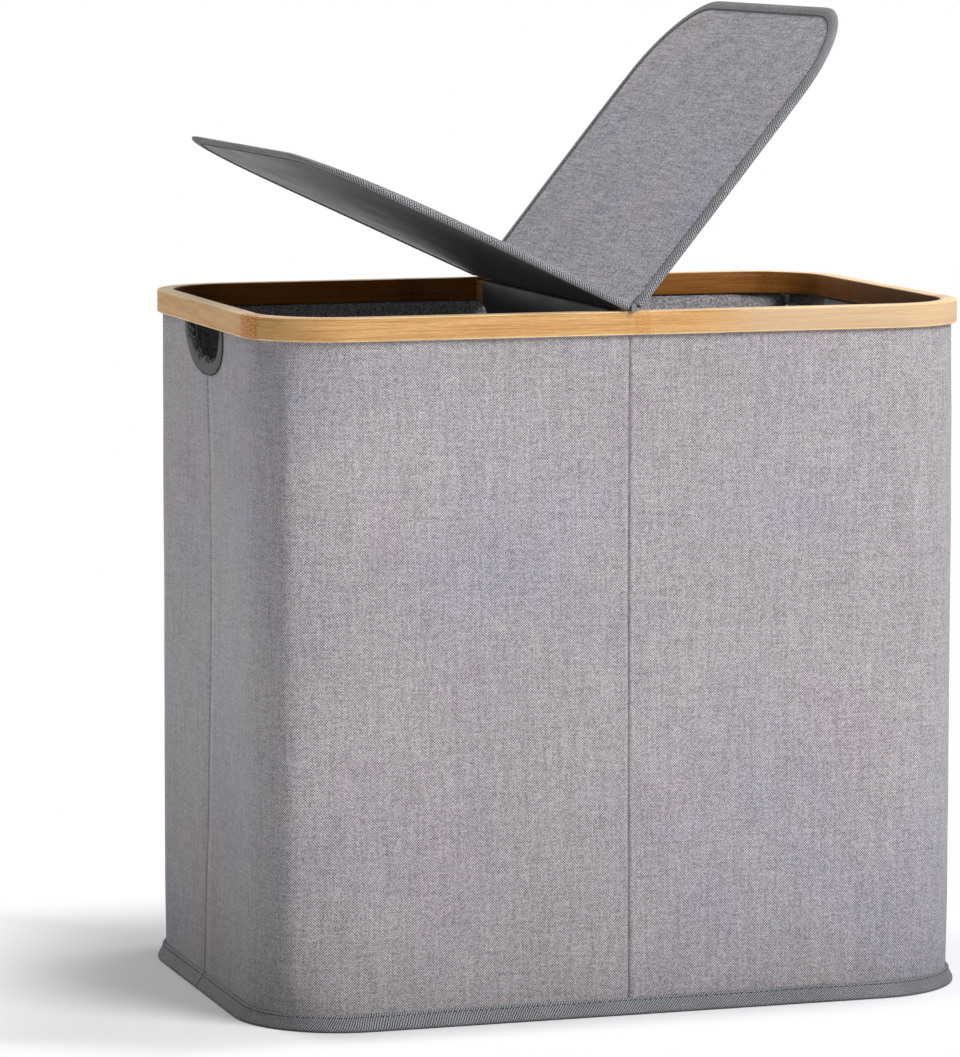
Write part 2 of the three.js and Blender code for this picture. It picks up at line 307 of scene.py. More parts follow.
class Value:
    """A number that varies over a surface, and on which plain sums can be done."""

    def __init__(self, tree, socket):
        self.tree = tree
        self.socket = socket

    def by(self, operation, other=0.0, turned=False):
        pair = (other, self) if turned else (self, other)
        made = add_node(self.tree, "Math", {"operation": operation}, pair)
        return Value(self.tree, made.outputs[0])

    def __add__(self, other):
        return self.by("ADD", other)

    def __sub__(self, other):
        return self.by("SUBTRACT", other)

    def __rsub__(self, other):
        return self.by("SUBTRACT", other, turned=True)

    def __mul__(self, other):
        return self.by("MULTIPLY", other)

    def __truediv__(self, other):
        return self.by("DIVIDE", other)

    def hump(self):
        """0 at each whole number, and a round rise to 1 between."""
        return (self.by("FRACT") * math.pi).by("SINE")

    def ramp(self, low, high, to_low=0.0, to_high=1.0):
        """A smooth step from one value to another, as this one goes from low to high."""
        made = add_node(self.tree, "MapRange", {"interpolation_type": "SMOOTHSTEP"}, Value=self,
                        From_Min=low, From_Max=high, To_Min=to_low, To_Max=to_high)
        return Value(self.tree, made.outputs[0])


class Shader:
    """A material under construction, with short calls for the nodes that are used here."""

    def __init__(self, name, roughness, specular=0.5, sheen=0.0, metallic=0.0):
        self.material = bpy.data.materials.new(name)
        self.material.use_nodes = True
        self.tree = self.material.node_tree
        self.shader = self.tree.nodes["Principled BSDF"]
        self.shader.inputs["Roughness"].default_value = roughness
        self.shader.inputs["Specular IOR Level"].default_value = specular
        self.shader.inputs["Sheen Weight"].default_value = sheen
        self.shader.inputs["Metallic"].default_value = metallic

    def parts(self, vector):
        split = add_node(self.tree, "SeparateXYZ", Vector=vector)
        return [Value(self.tree, output) for output in split.outputs]

    def surface(self):
        """The two UV lengths in millimetres."""
        u, v, _ = self.parts(add_node(self.tree, "UVMap", {"uv_map": "cut"}).outputs[0])
        return u * 1000, v * 1000

    def height(self):
        """Height above the floor in metres."""
        return self.parts(add_node(self.tree, "TexCoord").outputs["Object"])[2]

    def noise_at(self, at, scale, detail, roughness):
        made = add_node(self.tree, "TexNoise", Vector=at, Scale=scale, Detail=detail, Roughness=roughness)
        return Value(self.tree, made.outputs["Fac"])

    def noise(self, x, y, z, detail, roughness):
        """Noise from 0 to 1 at a point whose coordinates are counted in grains."""
        at = add_node(self.tree, "CombineXYZ", X=x, Y=y, Z=z)
        return self.noise_at(at.outputs[0], 1.0, detail, roughness)

    def space_noise(self, size, detail, roughness):
        """Noise in space, with grains of a size in millimetres."""
        at = add_node(self.tree, "TexCoord")
        return self.noise_at(at.outputs["Object"], 1000 / size, detail, roughness)

    def mix(self, share, a, b, blend="MIX"):
        made = add_node(self.tree, "Mix", {"data_type": "RGBA", "blend_type": blend})
        for index, value in ((0, share), (6, a), (7, b)):
            feed(self.tree, made.inputs[index], value)
        return made.outputs[2]

    def tint(self, colour, factor):
        """The colour times a factor that varies over the surface."""
        grey = add_node(self.tree, "CombineColor", Red=factor, Green=factor, Blue=factor)
        return self.mix(1.0, colour, grey.outputs[0], "MULTIPLY")

    def bump(self, height, depth):
        """Bump whose heights, from 0 to 1, stand for a depth in millimetres."""
        made = add_node(self.tree, "Bump", Height=height, Distance=depth * MM)
        feed(self.tree, self.shader.inputs["Normal"], made.outputs[0])

    def colour(self, value):
        feed(self.tree, self.shader.inputs["Base Color"], value)

    def roughness(self, value):
        feed(self.tree, self.shader.inputs["Roughness"], value)


# Materials

# Distance between the heather cloth's threads, and the tone that is left in the gaps between them
PITCH = 1.05
GAP_SHADE = 0.62
# The noise values at which a thread's tone, and other grain, is at its lowest and at its highest
THREAD_RANGE = (0.36, 0.64)
GRAIN_RANGE = (0.3, 0.7)
# A thread is this many grains of noise from the next one, so that each has its own tone
THREAD_STEP = 3.71


def woven(name, base, cool, warm, pair=0.5, own=0.34, slub=0.1, run=0.42, pressed=0.0, painted_height_shade=0.0):
    """Heather cloth in plain weave: light threads cross dark ones, and each has its own uneven tone.

    pair is how far light and dark threads lie from the middle tone, own how far a thread's tone
    goes up and down along it, run how many of these changes it has on its way past one other
    thread, and slub how much its long thick places add. pressed is a painted highlight on the strip
    on one side of a seam and painted shade on the strip on the other, and soil is painted shade
    that darkens the foot and the top of a wall.
    """
    cloth = Shader(name, 0.9, specular=0.2, sheen=0.12)
    u, v = cloth.surface()
    waver = cloth.noise(u * 0.05, v * 0.05, 5.0, 2.0, 0.6)
    across = u / PITCH + waver * 2.5
    along = v / PITCH + waver * 2.0
    column, row = across.by("FLOOR"), along.by("FLOOR")
    over = (column + row).by("PINGPONG", 1.0)
    under = 1.0 - over

    def threads(changes, seed, weft_level):
        warp = cloth.noise(column * THREAD_STEP, along * changes, seed, 1.0, 0.5)
        weft = cloth.noise(across * changes, row * THREAD_STEP, seed + 6, 1.0, 0.5)
        return warp * over + (weft * weft_level + 0.5 * (1 - weft_level)) * under

    thread = threads(run, 3.0, 1.0)
    tone = thread.ramp(*THREAD_RANGE, 1 - own - pair, 1 + own - pair) + over * (2 * pair)
    tone = tone + threads(0.03, 21.0, 0.6).ramp(*THREAD_RANGE, -slub, slub)
    # Painted highlight on the strip on one side of each seam, and painted shade on the other side
    if pressed:
        light = u.ramp(0.6, 1.8) * u.ramp(16.0, 3.0, 0.0, pressed)
        shade = u.ramp(-0.6, -1.8) * u.ramp(-22.0, -3.0, 0.0, 0.5 * pressed)
        tone = tone + (light - shade)
    lift = across.hump() * along.hump()
    streaks = cloth.noise(u * 0.17, v * 0.008, 31.0, 2.0, 0.7)
    tone = tone + streaks.ramp(*GRAIN_RANGE, -0.04, 0.04)
    tone = tone * lift.ramp(0.0, 0.7, GAP_SHADE, 1 + 0.28 * (1 - GAP_SHADE))
    hue = cloth.mix(cloth.space_noise(190, 3.0, 0.6).ramp(0.45, 0.7, 0.0, 0.65), base, cool)
    hue = cloth.mix(cloth.space_noise(110, 3.0, 0.6).ramp(0.5, 0.7, 0.0, 0.6), hue, warm)
    patchy = cloth.space_noise(240, 2.0, 0.5).ramp(0.32, 0.68, 0.95, 1.03)
    # Painted shade: the cloth is darker towards the floor and towards the rim
    if painted_height_shade:
        height = cloth.height()
        patchy = patchy * (height.ramp(0.0, 0.27, 1 - 2 * painted_height_shade, 1.0) * height.ramp(0.38, 0.56, 1.0, 1 - painted_height_shade))
    cloth.colour(cloth.tint(hue, tone * patchy))
    cloth.bump(lift + thread * 0.8, 0.14)
    return cloth.material


def smooth_cloth(name, base, roughness, specular):
    """Close woven lining with a dull gloss and faint creases."""
    cloth = Shader(name, roughness, specular=specular)
    u, v = cloth.surface()
    threads = cloth.noise(u * 0.9, v * 0.9, 1.0, 2.0, 0.6)
    creases = cloth.space_noise(38, 3.0, 0.55)
    # The creases also set the tone: painted shade in their hollows and painted light on their crests
    tone = threads.ramp(*GRAIN_RANGE, 0.86, 1.08) + creases.ramp(*GRAIN_RANGE, -0.06, 0.06)
    cloth.colour(cloth.tint(base, tone))
    cloth.roughness(creases.ramp(*GRAIN_RANGE, roughness - 0.05, roughness + 0.07))
    waves = 2 * math.pi / 0.5
    weave = (u * waves).by("SINE") * (v * waves).by("SINE") * 0.1
    cloth.bump(weave + creases * 5.0, 0.12)
    return cloth.material


def twill(name, light, dark, pitch=2.1):
    """Binding tape in twill: slanted ribs of short light floats on a dark ground."""
    float_length, slant, shift = 1.3, 0.8, 0.37
    tape = Shader(name, 0.85, specular=0.15, sheen=0.1)
    u, v = tape.surface()
    wander = tape.noise(u * 0.1, v * 0.1, 4.0, 2.0, 0.6)
    ribs = (u + v * slant + wander * 2.0) / pitch
    floats = ((v + ribs.by("FLOOR") * shift) / float_length).hump()
    lift = ribs.hump().ramp(0.3, 0.85) * floats.ramp(0.1, 0.6)
    yarn = tape.noise(u * 0.9, v * 1.3, 2.0, 2.0, 0.6)
    tone = lift + yarn.ramp(*GRAIN_RANGE, -0.35, 0.35)
    colour = tape.mix(tone.ramp(0.1, 0.85), dark, light)
    tape.colour(tape.tint(colour, tape.space_noise(30, 3.0, 0.6).ramp(*GRAIN_RANGE, 0.9, 1.08)))
    tape.bump(lift * 0.8 + yarn, 0.25)
    return tape.material


# Nodes along a strip of bamboo: place, half the width of the speckled band, and its strength
RIM_NODES = ((144.0, 17.0, 1.0), (477.0, 8.0, 0.4), (812.0, 14.0, 0.8), (1144.0, 10.0, 0.6),
             (1470.0, 14.0, 0.9), (1692.0, 9.0, 0.6))
BAR_NODES = ((70.0, 10.0, 0.7), (290.0, 10.0, 0.7))
# A band's edges wander by up to this length
NODE_SHAKE = 9.0
RIPE = (200, 124, 44)
# Colour of a painted sheen that lies on part of the rim
PAINTED_SHEEN_COLOUR = (206, 188, 163)
GLUE = (70, 42, 20)


def bamboo(name, base, light, dark, ripe=RIPE, nodes=RIM_NODES, joint=None, painted_sheen_span=None):
    """Lacquered bamboo: fibres along the strip, laminations, and a speckled band at each node."""
    roughness = 0.42
    wood = Shader(name, roughness, specular=0.1)
    u, v = wood.surface()
    dashes = wood.noise(u * 0.016, v * 0.9, 1.0, 4.0, 0.62)
    fine = wood.noise(u * 0.12, v * 2.1, 5.0, 3.0, 0.6)
    strips = wood.noise(u * 0.006, v * 0.13, 8.0, 2.0, 0.5)
    colour = wood.mix(strips.ramp(0.35, 0.65, 0.0, 0.7), base, light)
    colour = wood.mix(dashes.ramp(0.46, 0.7, 0.0, 0.7), colour, dark)
    colour = wood.mix(dashes.ramp(0.46, 0.3, 0.0, 0.6), colour, light)
    colour = wood.tint(colour, fine.ramp(*GRAIN_RANGE, 0.83, 1.1))
    # Painted sheen: a paler stretch between two places along the strip
    if painted_sheen_span is not None:
        start, end = painted_sheen_span
        share = u.ramp(start, start + 75) * u.ramp(end, end - 70, 0.0, 0.5)
        colour = wood.mix(share, colour, PAINTED_SHEEN_COLOUR)
    height = dashes + fine * 0.6
    for middle, half, strength in nodes:
        shake = wood.noise(u * 0.2, v * 0.3, middle, 2.0, 0.6)
        off = (u + shake * NODE_SHAKE - (middle + NODE_SHAKE / 2)).by("ABSOLUTE")
        band = off.ramp(half, 0.6 * half, 0.0, strength)
        dots = wood.noise(u * 0.3, v * 0.8, middle + 3, 3.0, 0.65)
        colour = wood.mix(band * 0.35, colour, ripe)
        colour = wood.mix(band * dots.ramp(0.47, 0.6, 0.0, 0.9), colour, [0.86 * c for c in ripe])
        colour = wood.mix(band * dots.ramp(0.46, 0.36, 0.0, 0.55), colour, light)
        height = height + band * 0.5
    if joint is not None:
        off = (u - joint).by("ABSOLUTE")
        colour = wood.mix(off.ramp(0.7, 0.25, 0.0, 0.85), colour, GLUE)
    wood.colour(colour)
    wood.roughness(fine.ramp(*GRAIN_RANGE, roughness - 0.05, roughness + 0.1))
    wood.bump(height, 0.08)
    return wood.material


def speckled(name, base, spread, size, roughness, specular=0.5, metallic=0.0, depth=0.05):
    """Plain made stuff, such as board, plastic or metal, with a small grain."""
    stuff = Shader(name, roughness, specular=specular, metallic=metallic)
    grain = stuff.space_noise(size, 4.0, 0.65)
    stuff.colour(stuff.tint(base, grain.ramp(0.25, 0.75, 1 - spread, 1 + spread)))
    stuff.roughness(grain.ramp(0.25, 0.75, roughness - 0.06, roughness + 0.08))
    stuff.bump(grain, depth)
    return stuff.material


HEATHER = woven("heather_cloth", (175, 171, 175), (167, 164, 180), (173, 163, 171), own=0.26, slub=0.15,
                run=0.5, pressed=0.18, painted_height_shade=0.065)
COVER = woven("cover_cloth", (174, 171, 177), (167, 166, 184), (176, 169, 174), own=0.5, slub=0.3, run=0.4)
INSIDE = woven("inside_cloth", (173, 170, 174), (166, 166, 178), (176, 168, 171), pair=0.3, own=0.5)
UNDER = woven("under_cloth", (92, 90, 95), (88, 88, 98), (96, 90, 93))
DARK = smooth_cloth("dark_cloth", (88, 88, 92), 0.5, 0.5)
# A much darker copy of the dark lining cloth, for the divider's cover: painted shade of the bins' inside
SLEEVE_SHADED = smooth_cloth("sleeve_cloth_painted_shade", (40, 41, 44), 0.5, 0.4)
TAPE = twill("twill_tape", (172, 174, 177), (36, 38, 42))
TRIM = twill("trim_tape", (122, 124, 128), (30, 31, 34), pitch=1.7)
# The rim carries its painted sheen over the right half of the front and round the front-right corner
BAMBOO = bamboo("bamboo", (199, 151, 96), (217, 176, 121), (168, 111, 57), painted_sheen_span=(515.0, 850.0))
# A paler copy of the rim's bamboo for its top and bottom edges: painted highlight
EDGE_BAMBOO_HIGHLIT = bamboo("bamboo_edge_painted_highlight", (232, 200, 152), (244, 220, 182), (206, 160, 104))
# A darker, redder copy of the rim's bamboo for its inner face: painted shade; its dark glue joint is real
INNER_BAMBOO_SHADED = bamboo("bamboo_inner_painted_shade", (138, 86, 38), (160, 106, 52), (100, 58, 24), (120, 66, 24), joint=1000.0)
BAR = bamboo("bar_bamboo", (196, 142, 84), (214, 164, 106), (140, 84, 42), nodes=BAR_NODES)
BOARD = speckled("pressed_board", (168, 152, 120), 0.12, 3.0, 0.85, 0.3)
PLASTIC = speckled("cap_plastic", (36, 37, 40), 0.1, 1.2, 0.5)
METAL = speckled("rod_metal", (112, 114, 118), 0.04, 0.8, 0.45, metallic=1.0, depth=0.01)
# Dark stitching thread; on the faces where the hem's ends meet it is painted shade in that gap
THREAD = speckled("thread", (44, 45, 48), 0.15, 0.7, 0.8, 0.2)
HOOKS = speckled("hook_tape", (42, 42, 45), 0.35, 0.9, 0.8, 0.3, depth=0.5)


def ride(obj, slot, *nodes, body="root"):
    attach(obj, body)
    if nodes:
        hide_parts(*nodes)
    return obj


def finish_node(node, material):
    """Gives a material to a CAD node that stays."""
    slots = frame["nodes"][node].data.materials
    slots.clear()
    slots.append(material)


# A stitch's length, and its sections from end to end: share of the length, and share of the radius
STITCH = 3.0
STITCH_SHARES = ((0.0, 0.35), (0.18, 1.0), (0.82, 1.0), (1.0, 0.35))


def stitches(name, path, normals, slot="twill_tape", body="root", gap=1.3, radius=0.28):
    """A row of lockstitches along a path (n, 3), half sunk in the cloth; one normal does for all points."""
    along = lengths(path)
    normals = np.broadcast_to(normals, path.shape)

    def look_up(table, distance):
        return np.array([np.interp(distance, along, table[:, i]) for i in range(3)])

    sheets = Sheets()
    angles = np.radians(np.arange(0, 360, 60))
    for k in range(int(along[-1] / (STITCH + gap))):
        rings = []
        for share, swell in STITCH_SHARES:
            at = (k + 0.5) * (STITCH + gap) + (share - 0.5) * STITCH
            normal = unit(look_up(normals, at))
            side = np.cross(unit(look_up(path, at + 0.5) - look_up(path, at - 0.5)), normal)
            middle = look_up(path, at) + normal * radius * (-0.8 if swell < 1 else 0.1)
            around = [normal * math.sin(a) + side * math.cos(a) for a in angles]
            rings.append(middle + radius * swell * np.array(around))
        rings = np.array(rings)
        sweep(sheets, rings, lengths(rings[:, 0]))
    obj = sheets.make(name, THREAD, merge=False)
    return ride(obj, slot, body=body)


# Bamboo rim, crossbar and dowels

BAR_EDGE = 1.6


def rim_section():
    """Inset from the outer face and height of the rim's section, with the groove for the cloth."""
    inner, bottom, top = RIM_THICKNESS, RIM_BOTTOM, RIM_TOP
    groove_out = WALL_INSET - GROOVE_CLEARANCE
    groove_in = LINING_INSET + LINING_SPACE + GROOVE_CLEARANCE
    e = RIM_EDGE
    return np.vstack([
        arc((e, top - e), e, 180, 90, 5),
        arc((inner - e, top - e), e, 90, 0, 5),
        arc((inner - e, bottom + e), e, 0, -90, 4),
        [(groove_in, bottom), (groove_in, bottom + GROOVE_DEPTH)],
        [(groove_out, bottom + GROOVE_DEPTH), (groove_out, bottom)],
        arc((e, bottom + e), e, 270, 180, 4),
        [(0.0, bottom + 0.5 * (top - bottom))],
    ])


def make_rim():
    """The hoop, with a darker copy of its bamboo on the inner face as painted shade, and a paler copy on the
    top and bottom edges as painted highlight.
    """
    stations = loop_stations(arc_steps=32, straight_steps=8)
    section = rim_section()
    rings = []
    for inset, height in section:
        flat = place(stations, HALF_X - inset, HALF_Y - inset, RIM_RADIUS - inset)
        wobble = [0.12 * ripple((x, y, 0), 90, 3) for x, y in flat]
        rings.append(np.column_stack([flat, np.full(len(flat), height) + wobble]))
    along = round_lengths(place(stations, HALF_X, HALF_Y, RIM_RADIUS))
    across = round_lengths(section)
    sheets = Sheets()
    sheets.grid(np.stack(rings, axis=1), uv_grid(along, across), wrap_u=True, wrap_v=True)
    rim = sheets.make("bamboo_rim", BAMBOO, 35)
    rim.data.materials.append(INNER_BAMBOO_SHADED)
    rim.data.materials.append(EDGE_BAMBOO_HIGHLIT)
    # Faces on the inner face get the darker copy (painted shade); faces along the top and bottom edges get
    # the paler copy (painted highlight)
    inner = [across[k] * MM for k, (inset, _) in enumerate(section) if inset > RIM_THICKNESS - 0.8 * RIM_EDGE]
    cut = rim.data.uv_layers["cut"].data
    for face in rim.data.polygons:
        middle = sum(cut[k].uv[1] for k in face.loop_indices) / len(face.loop_indices)
        height = sum(rim.data.vertices[k].co.z for k in face.vertices) / len(face.vertices) / MM
        if min(inner) < middle < max(inner):
            face.material_index = 1
        elif height > RIM_TOP - 0.55 * RIM_EDGE or height < RIM_BOTTOM + 0.85 * RIM_EDGE:
            face.material_index = 2
    ride(rim, "bamboo", "rim_hoop")


def make_crossbar():
    """A bar along Y with rounded long edges and eased ends."""
    low, high = span("crossbar")
    edge = BAR_EDGE
    x0, z0 = low[0] + edge, low[2] + edge
    x1, z1 = high[0] - edge, high[2] - edge
    section = np.vstack([
        arc((x1, z1), edge, 0, 90, 4), arc((x0, z1), edge, 90, 180, 4),
        arc((x0, z0), edge, 180, 270, 4), arc((x1, z0), edge, 270, 360, 4)])
    middle = np.array([low[0] + high[0], low[2] + high[2]]) / 2
    rings, places = [], []
    shrink = edge * 0.6
    for y, less in ((low[1], shrink), (low[1] + shrink, 0), (high[1] - shrink, 0), (high[1], shrink)):
        scale = 1 - less / min(high[0] - low[0], high[2] - low[2])
        flat = middle + (section - middle) * scale
        rings.append(upright(flat, y))
        places.append(y - low[1])
    ride(tube("bamboo_crossbar", BAR, 35, rings, np.array(places)), "bamboo", "crossbar")
    for side in ("front", "back"):
        finish_node(f"dowel_{side}", BAR)


make_rim()
make_crossbar()


# Cloth walls

# Inward sag of a side wall and of a front or back wall at its middle: height and depth, hem to rim
SIDE_SAG = np.array([(0, -0.8), (12, -0.9), (45, 0.2), (150, 3.2), (300, 5.2), (430, 5.0), (520, 2.3),
                     (RIM_BOTTOM - 1, 0.4), (RIM_BOTTOM + 2, 0.0)])
FRONT_SAG = np.array([(0, -0.4), (12, -0.5), (45, 0.1), (200, 1.6), (350, 2.4), (480, 1.8),
                      (RIM_BOTTOM - 1, 0.3), (RIM_BOTTOM + 2, 0.0)])
# How far from the middle of a wall its sag reaches
SIDE_SAG_REACH = 155
FRONT_SAG_REACH = 255
# Up to this height the wall has the outline of the base
FOOT = 12
# How sharply each corner breaks over its rod, as a share of the sharpest
RIDGE_SHARES = {(-1, -1): 0.8, (1, -1): 0.3, (-1, 1): 0.25, (1, 1): 0.35}
# At its sharpest a corner turns by this angle up to its edge, and after it is this far round
SIDE_TURN = 27.0
FRONT_TURN = 77.0
EDGE_AT_SHARE = 0.57
EDGE_WIDTH_SHARE = 0.17
# Height, and share of a corner's sharpness that is left there
RIDGE_HEIGHTS = np.array([(0, 0.0), (14, 0.08), (45, 0.6), (100, 0.9), (300, 1.0), (440, 0.95), (500, 0.7),
                          (RIM_BOTTOM - 3, 0.1), (RIM_BOTTOM + 2, 0.0)])


def corner_form(radius, steps=240):
    """How far a sharp corner stands out from a round one: angle from the side, and offset along it."""
    share = np.linspace(0, 1, steps)
    before = np.clip(share / EDGE_AT_SHARE, 0, 1)
    after = np.clip((share - EDGE_AT_SHARE) / (1 - EDGE_AT_SHARE), 0, 1)
    edge = np.clip((share - EDGE_AT_SHARE) / EDGE_WIDTH_SHARE + 0.5, 0, 1)
    edge = edge * edge * (3 - 2 * edge)
    facing = SIDE_TURN * before ** 1.2 + (FRONT_TURN - SIDE_TURN) * edge + (90 - FRONT_TURN) * after
    x = np.cumsum(np.sin(np.radians(facing)))
    y = np.cumsum(np.cos(np.radians(facing)))
    x, y = radius * (1 - x / x[-1]), radius * y / y[-1]
    return np.degrees(np.arctan2(y, x)), np.hypot(x, y) - radius


CORNER_ANGLES, CORNER_OFFSETS = corner_form(WALL_RADIUS)


def at_height(table, z):
    return np.interp(z, table[:, 0], table[:, 1])


def fade(distance, reach):
    """1 at the middle of a wall, down to 0 where its sag ends."""
    return max(0.0, math.cos(min(1.0, abs(distance) / reach) * math.pi / 2))


def wall_point(station, z, depth):
    """A point of the wall at a depth under its outer face."""
    kx, ky, nx, ny = station
    share = np.clip((z - FOOT) / (RIM_BOTTOM - FOOT), 0, 1)
    inset = BASE_INSET + (WALL_INSET - BASE_INSET) * share
    radius = BASE_RADIUS + (WALL_RADIUS - BASE_RADIUS) * share
    x = (HALF_X - inset - radius) * kx + radius * nx
    y = (HALF_Y - inset - radius) * ky + radius * ny
    inward = depth
    inward += at_height(SIDE_SAG, z) * fade(y, SIDE_SAG_REACH) ** 2 * abs(nx) ** 4
    inward += at_height(FRONT_SAG, z) * fade(x, FRONT_SAG_REACH) ** 1.5 * abs(ny) ** 4
    angle = math.degrees(math.atan2(abs(ny), abs(nx)))
    if 0 < angle < 90:
        corner = RIDGE_SHARES[(int(np.sign(nx)), int(np.sign(ny)))]
        inward -= corner * at_height(RIDGE_HEIGHTS, z) * np.interp(angle, CORNER_ANGLES, CORNER_OFFSETS)
    slack = np.clip((RIM_BOTTOM - z) / 60, 0, 1) * np.clip((z - 14) / 50, 0, 1)
    inward += slack * (0.55 * ripple((x, y, 0.45 * z), 70, 1) + 0.3 * ripple((x, y, 0.6 * z), 26, 7))
    return x - nx * inward, y - ny * inward


def wall_rows():
    """Heights of the wall's rows, finer near the rim and the hem."""
    low = [WALL_BOTTOM, 5, 9, 13, 18, 24, 32, 42]
    high = [505, 515, 524, 531, 536, 540, RIM_BOTTOM - 1.2, RIM_BOTTOM, RIM_BOTTOM + 2, WALL_TOP]
    return np.array(low + list(np.linspace(54, 495, 38)) + high)


ROWS = wall_rows()
MIDDLE_ROW = len(ROWS) // 2


def seam_distance(station):
    """Distance of a station from the seam in the middle of its wall; a corner is far from both."""
    kx, ky, nx, ny = station
    if nx and ny:
        return 1e3
    return abs(ky) * (HALF_Y - RIM_RADIUS) if nx else abs(kx) * (HALF_X - RIM_RADIUS)


def wall_grid(stations, depth, groove=1.4):
    """Points of a wall, with a groove along each seam and a small ridge beside it."""
    points = np.zeros((len(stations), len(ROWS), 3))
    for i, station in enumerate(stations):
        gap = seam_distance(station)
        dip = groove * (math.exp(-gap ** 2) - 0.3 * math.exp(-((gap - 3.4) / 1.6) ** 2))
        for j, z in enumerate(ROWS):
            tuck = dip if z < RIM_BOTTOM - 1 else 0.0
            points[i, j] = (*wall_point(station, z, depth + tuck), z)
    return points


def hold_seam(points, sides, gap=0.12):
    """Keeps a panel's seam edges a hair on its own side of the seam."""
    points[0, :, 1] = sides[1] * gap
    points[-1, :, 0] = sides[0] * gap
    return points


HANDLE_WIDTH = 96.0
HANDLE_DROP = 29.0
# Power that makes the U of the hand hole fuller than half an ellipse
HANDLE_FULLNESS = 0.84
# The cloth is cut this far outside the hole's edge, from this far in to this far out of the rim's face
CUT_PAST = 1.4
CUT_IN = 25.0
CUT_OUT = 10.0


def handle_outline(grow, top, steps=36):
    """The hand hole's U in Y and in height from the rim's lower face, from one top end to the other."""
    angles = np.radians(np.linspace(180, 360, steps + 1))
    y = np.sign(np.cos(angles)) * np.abs(np.cos(angles)) ** HANDLE_FULLNESS * (HANDLE_WIDTH / 2 + grow)
    drop = np.abs(np.sin(angles)) ** HANDLE_FULLNESS * (HANDLE_DROP + grow)
    return np.vstack([[(y[0], top)], np.column_stack([y, -drop]), [(y[-1], top)]])


def handle_cutter(side):
    # An odd number of steps puts no corner of the cut on the seam, where the cloth has a row of points
    outline = handle_outline(CUT_PAST, GROOVE_DEPTH + 3, 35)
    rings = []
    for x in (side * (HALF_X - CUT_IN), side * (HALF_X + CUT_OUT)):
        rings.append(np.column_stack([np.full(len(outline), x), outline[:, 0], outline[:, 1] + RIM_BOTTOM]))
    return tube("cutter", None, 50, rings, np.array([0.0, CUT_IN + CUT_OUT]))


SIDES = ((-1, "left"), (1, "right"))
CORNERS = ((-1, -1, "front_left"), (1, -1, "front_right"), (-1, 1, "back_left"), (1, 1, "back_right"))


def hang_cloth(name, material, slot, node, outer, inner, side, turn=1):
    """A cloth between two grids, held by the rim, with its part of the hand hole cut out."""
    along = lengths(outer[:, MIDDLE_ROW])
    cloth = slab(name, material, 60, outer, inner, uv_grid(along * turn, ROWS))
    cut_away(cloth, handle_cutter(side))
    ride(cloth, slot, node)


def make_walls():
    for side_x, side_y, word in CORNERS:
        stations = quarter_stations(side_x, side_y)
        outer = hold_seam(wall_grid(stations, 0.0), (side_x, side_y))
        inner = hold_seam(wall_grid(stations, CLOTH), (side_x, side_y))
        hang_cloth(f"wall_{word}", HEATHER, "heather_cloth", f"shell_{word}", outer, inner, side_x,
                   side_x * side_y)


# The lining comes out of the groove over its turned hem, and so stands forward under the rim
LINING_LIP = 4.4
LINING_LIP_REACH = 26.0
LINING_SLACK = 0.9


def lining_grid(stations, depth):
    points = wall_grid(stations, depth, groove=0.5)
    for i, station in enumerate(stations):
        free = 1 - (abs(station[2] * station[3]) * 2) ** 0.5
        for j, z in enumerate(ROWS):
            slack = np.clip((RIM_BOTTOM - 8 - z) / 50, 0, 1) * np.clip((z - FOOT) / 60, 0, 1) * free
            x, y, _ = points[i, j]
            more = slack * LINING_SLACK * (0.5 + 0.5 * ripple((x, y, 0.5 * z), 42, 11))
            if z < RIM_BOTTOM - 0.5:
                more += LINING_LIP * free * math.exp((z - RIM_BOTTOM) / LINING_LIP_REACH)
            points[i, j, :2] -= station[2:] * more
    return points


def make_linings():
    for side_x, word in SIDES:
        stations = np.vstack([quarter_stations(side_x, 1)[::-1], quarter_stations(side_x, -1)[1:]])
        outer = lining_grid(stations, LINING_INSET - WALL_INSET)
        inner = outer.copy()
        inner[:, :, :2] -= stations[:, None, 2:] * LINING
        for grid in (outer, inner):
            grid[0, :, 0] = side_x * 0.15
            grid[-1, :, 0] = side_x * 0.15
        hang_cloth(f"bin_lining_{word}", INSIDE, "lining_cloth", f"lining_{word}", outer, inner, side_x)


# Binding folded round the edge of each hand hole, and how ragged its edge in the hole is
TRIM_WIDTH = 11.0
TRIM_TAPE = 1.1
TRIM_STEPS = 220
WALL_DEPTH = LINING_INSET + LINING_SPACE - WALL_INSET
TRIM_HALF = WALL_DEPTH / 2 + 0.35
FRAY = 5.5
FRAY_REACH = 2.6


def wall_middle_x(y, z):
    """How far out the middle of a side wall's thickness lies."""
    share = min(abs(y) / (HALF_Y - RIM_RADIUS), 1.0) * (1 if y >= 0 else -1)
    return wall_point((1.0, share, 1.0, 0.0), z, 0.0)[0] - WALL_DEPTH / 2


def trim_section():
    """The folded tape's section: distance from the hole's edge, and place through the wall."""
    width, half, tape = TRIM_WIDTH, TRIM_HALF, TRIM_TAPE
    outside = [(width, half), (width - 0.3, half + tape * 0.7), (width - 1.4, half + tape),
               (width * 0.5, half + tape + 0.25), (2.2, half + tape), (0.7, half + tape * 0.7),
               (0.0, half * 0.6)]
    inside = [(out, -thick) for out, thick in outside[::-1]]
    back = [(width * 0.5, -half), (1.3, -half), (1.2, half), (width * 0.5, half)]
    return outside + [(-0.25, 0.0)] + inside + back


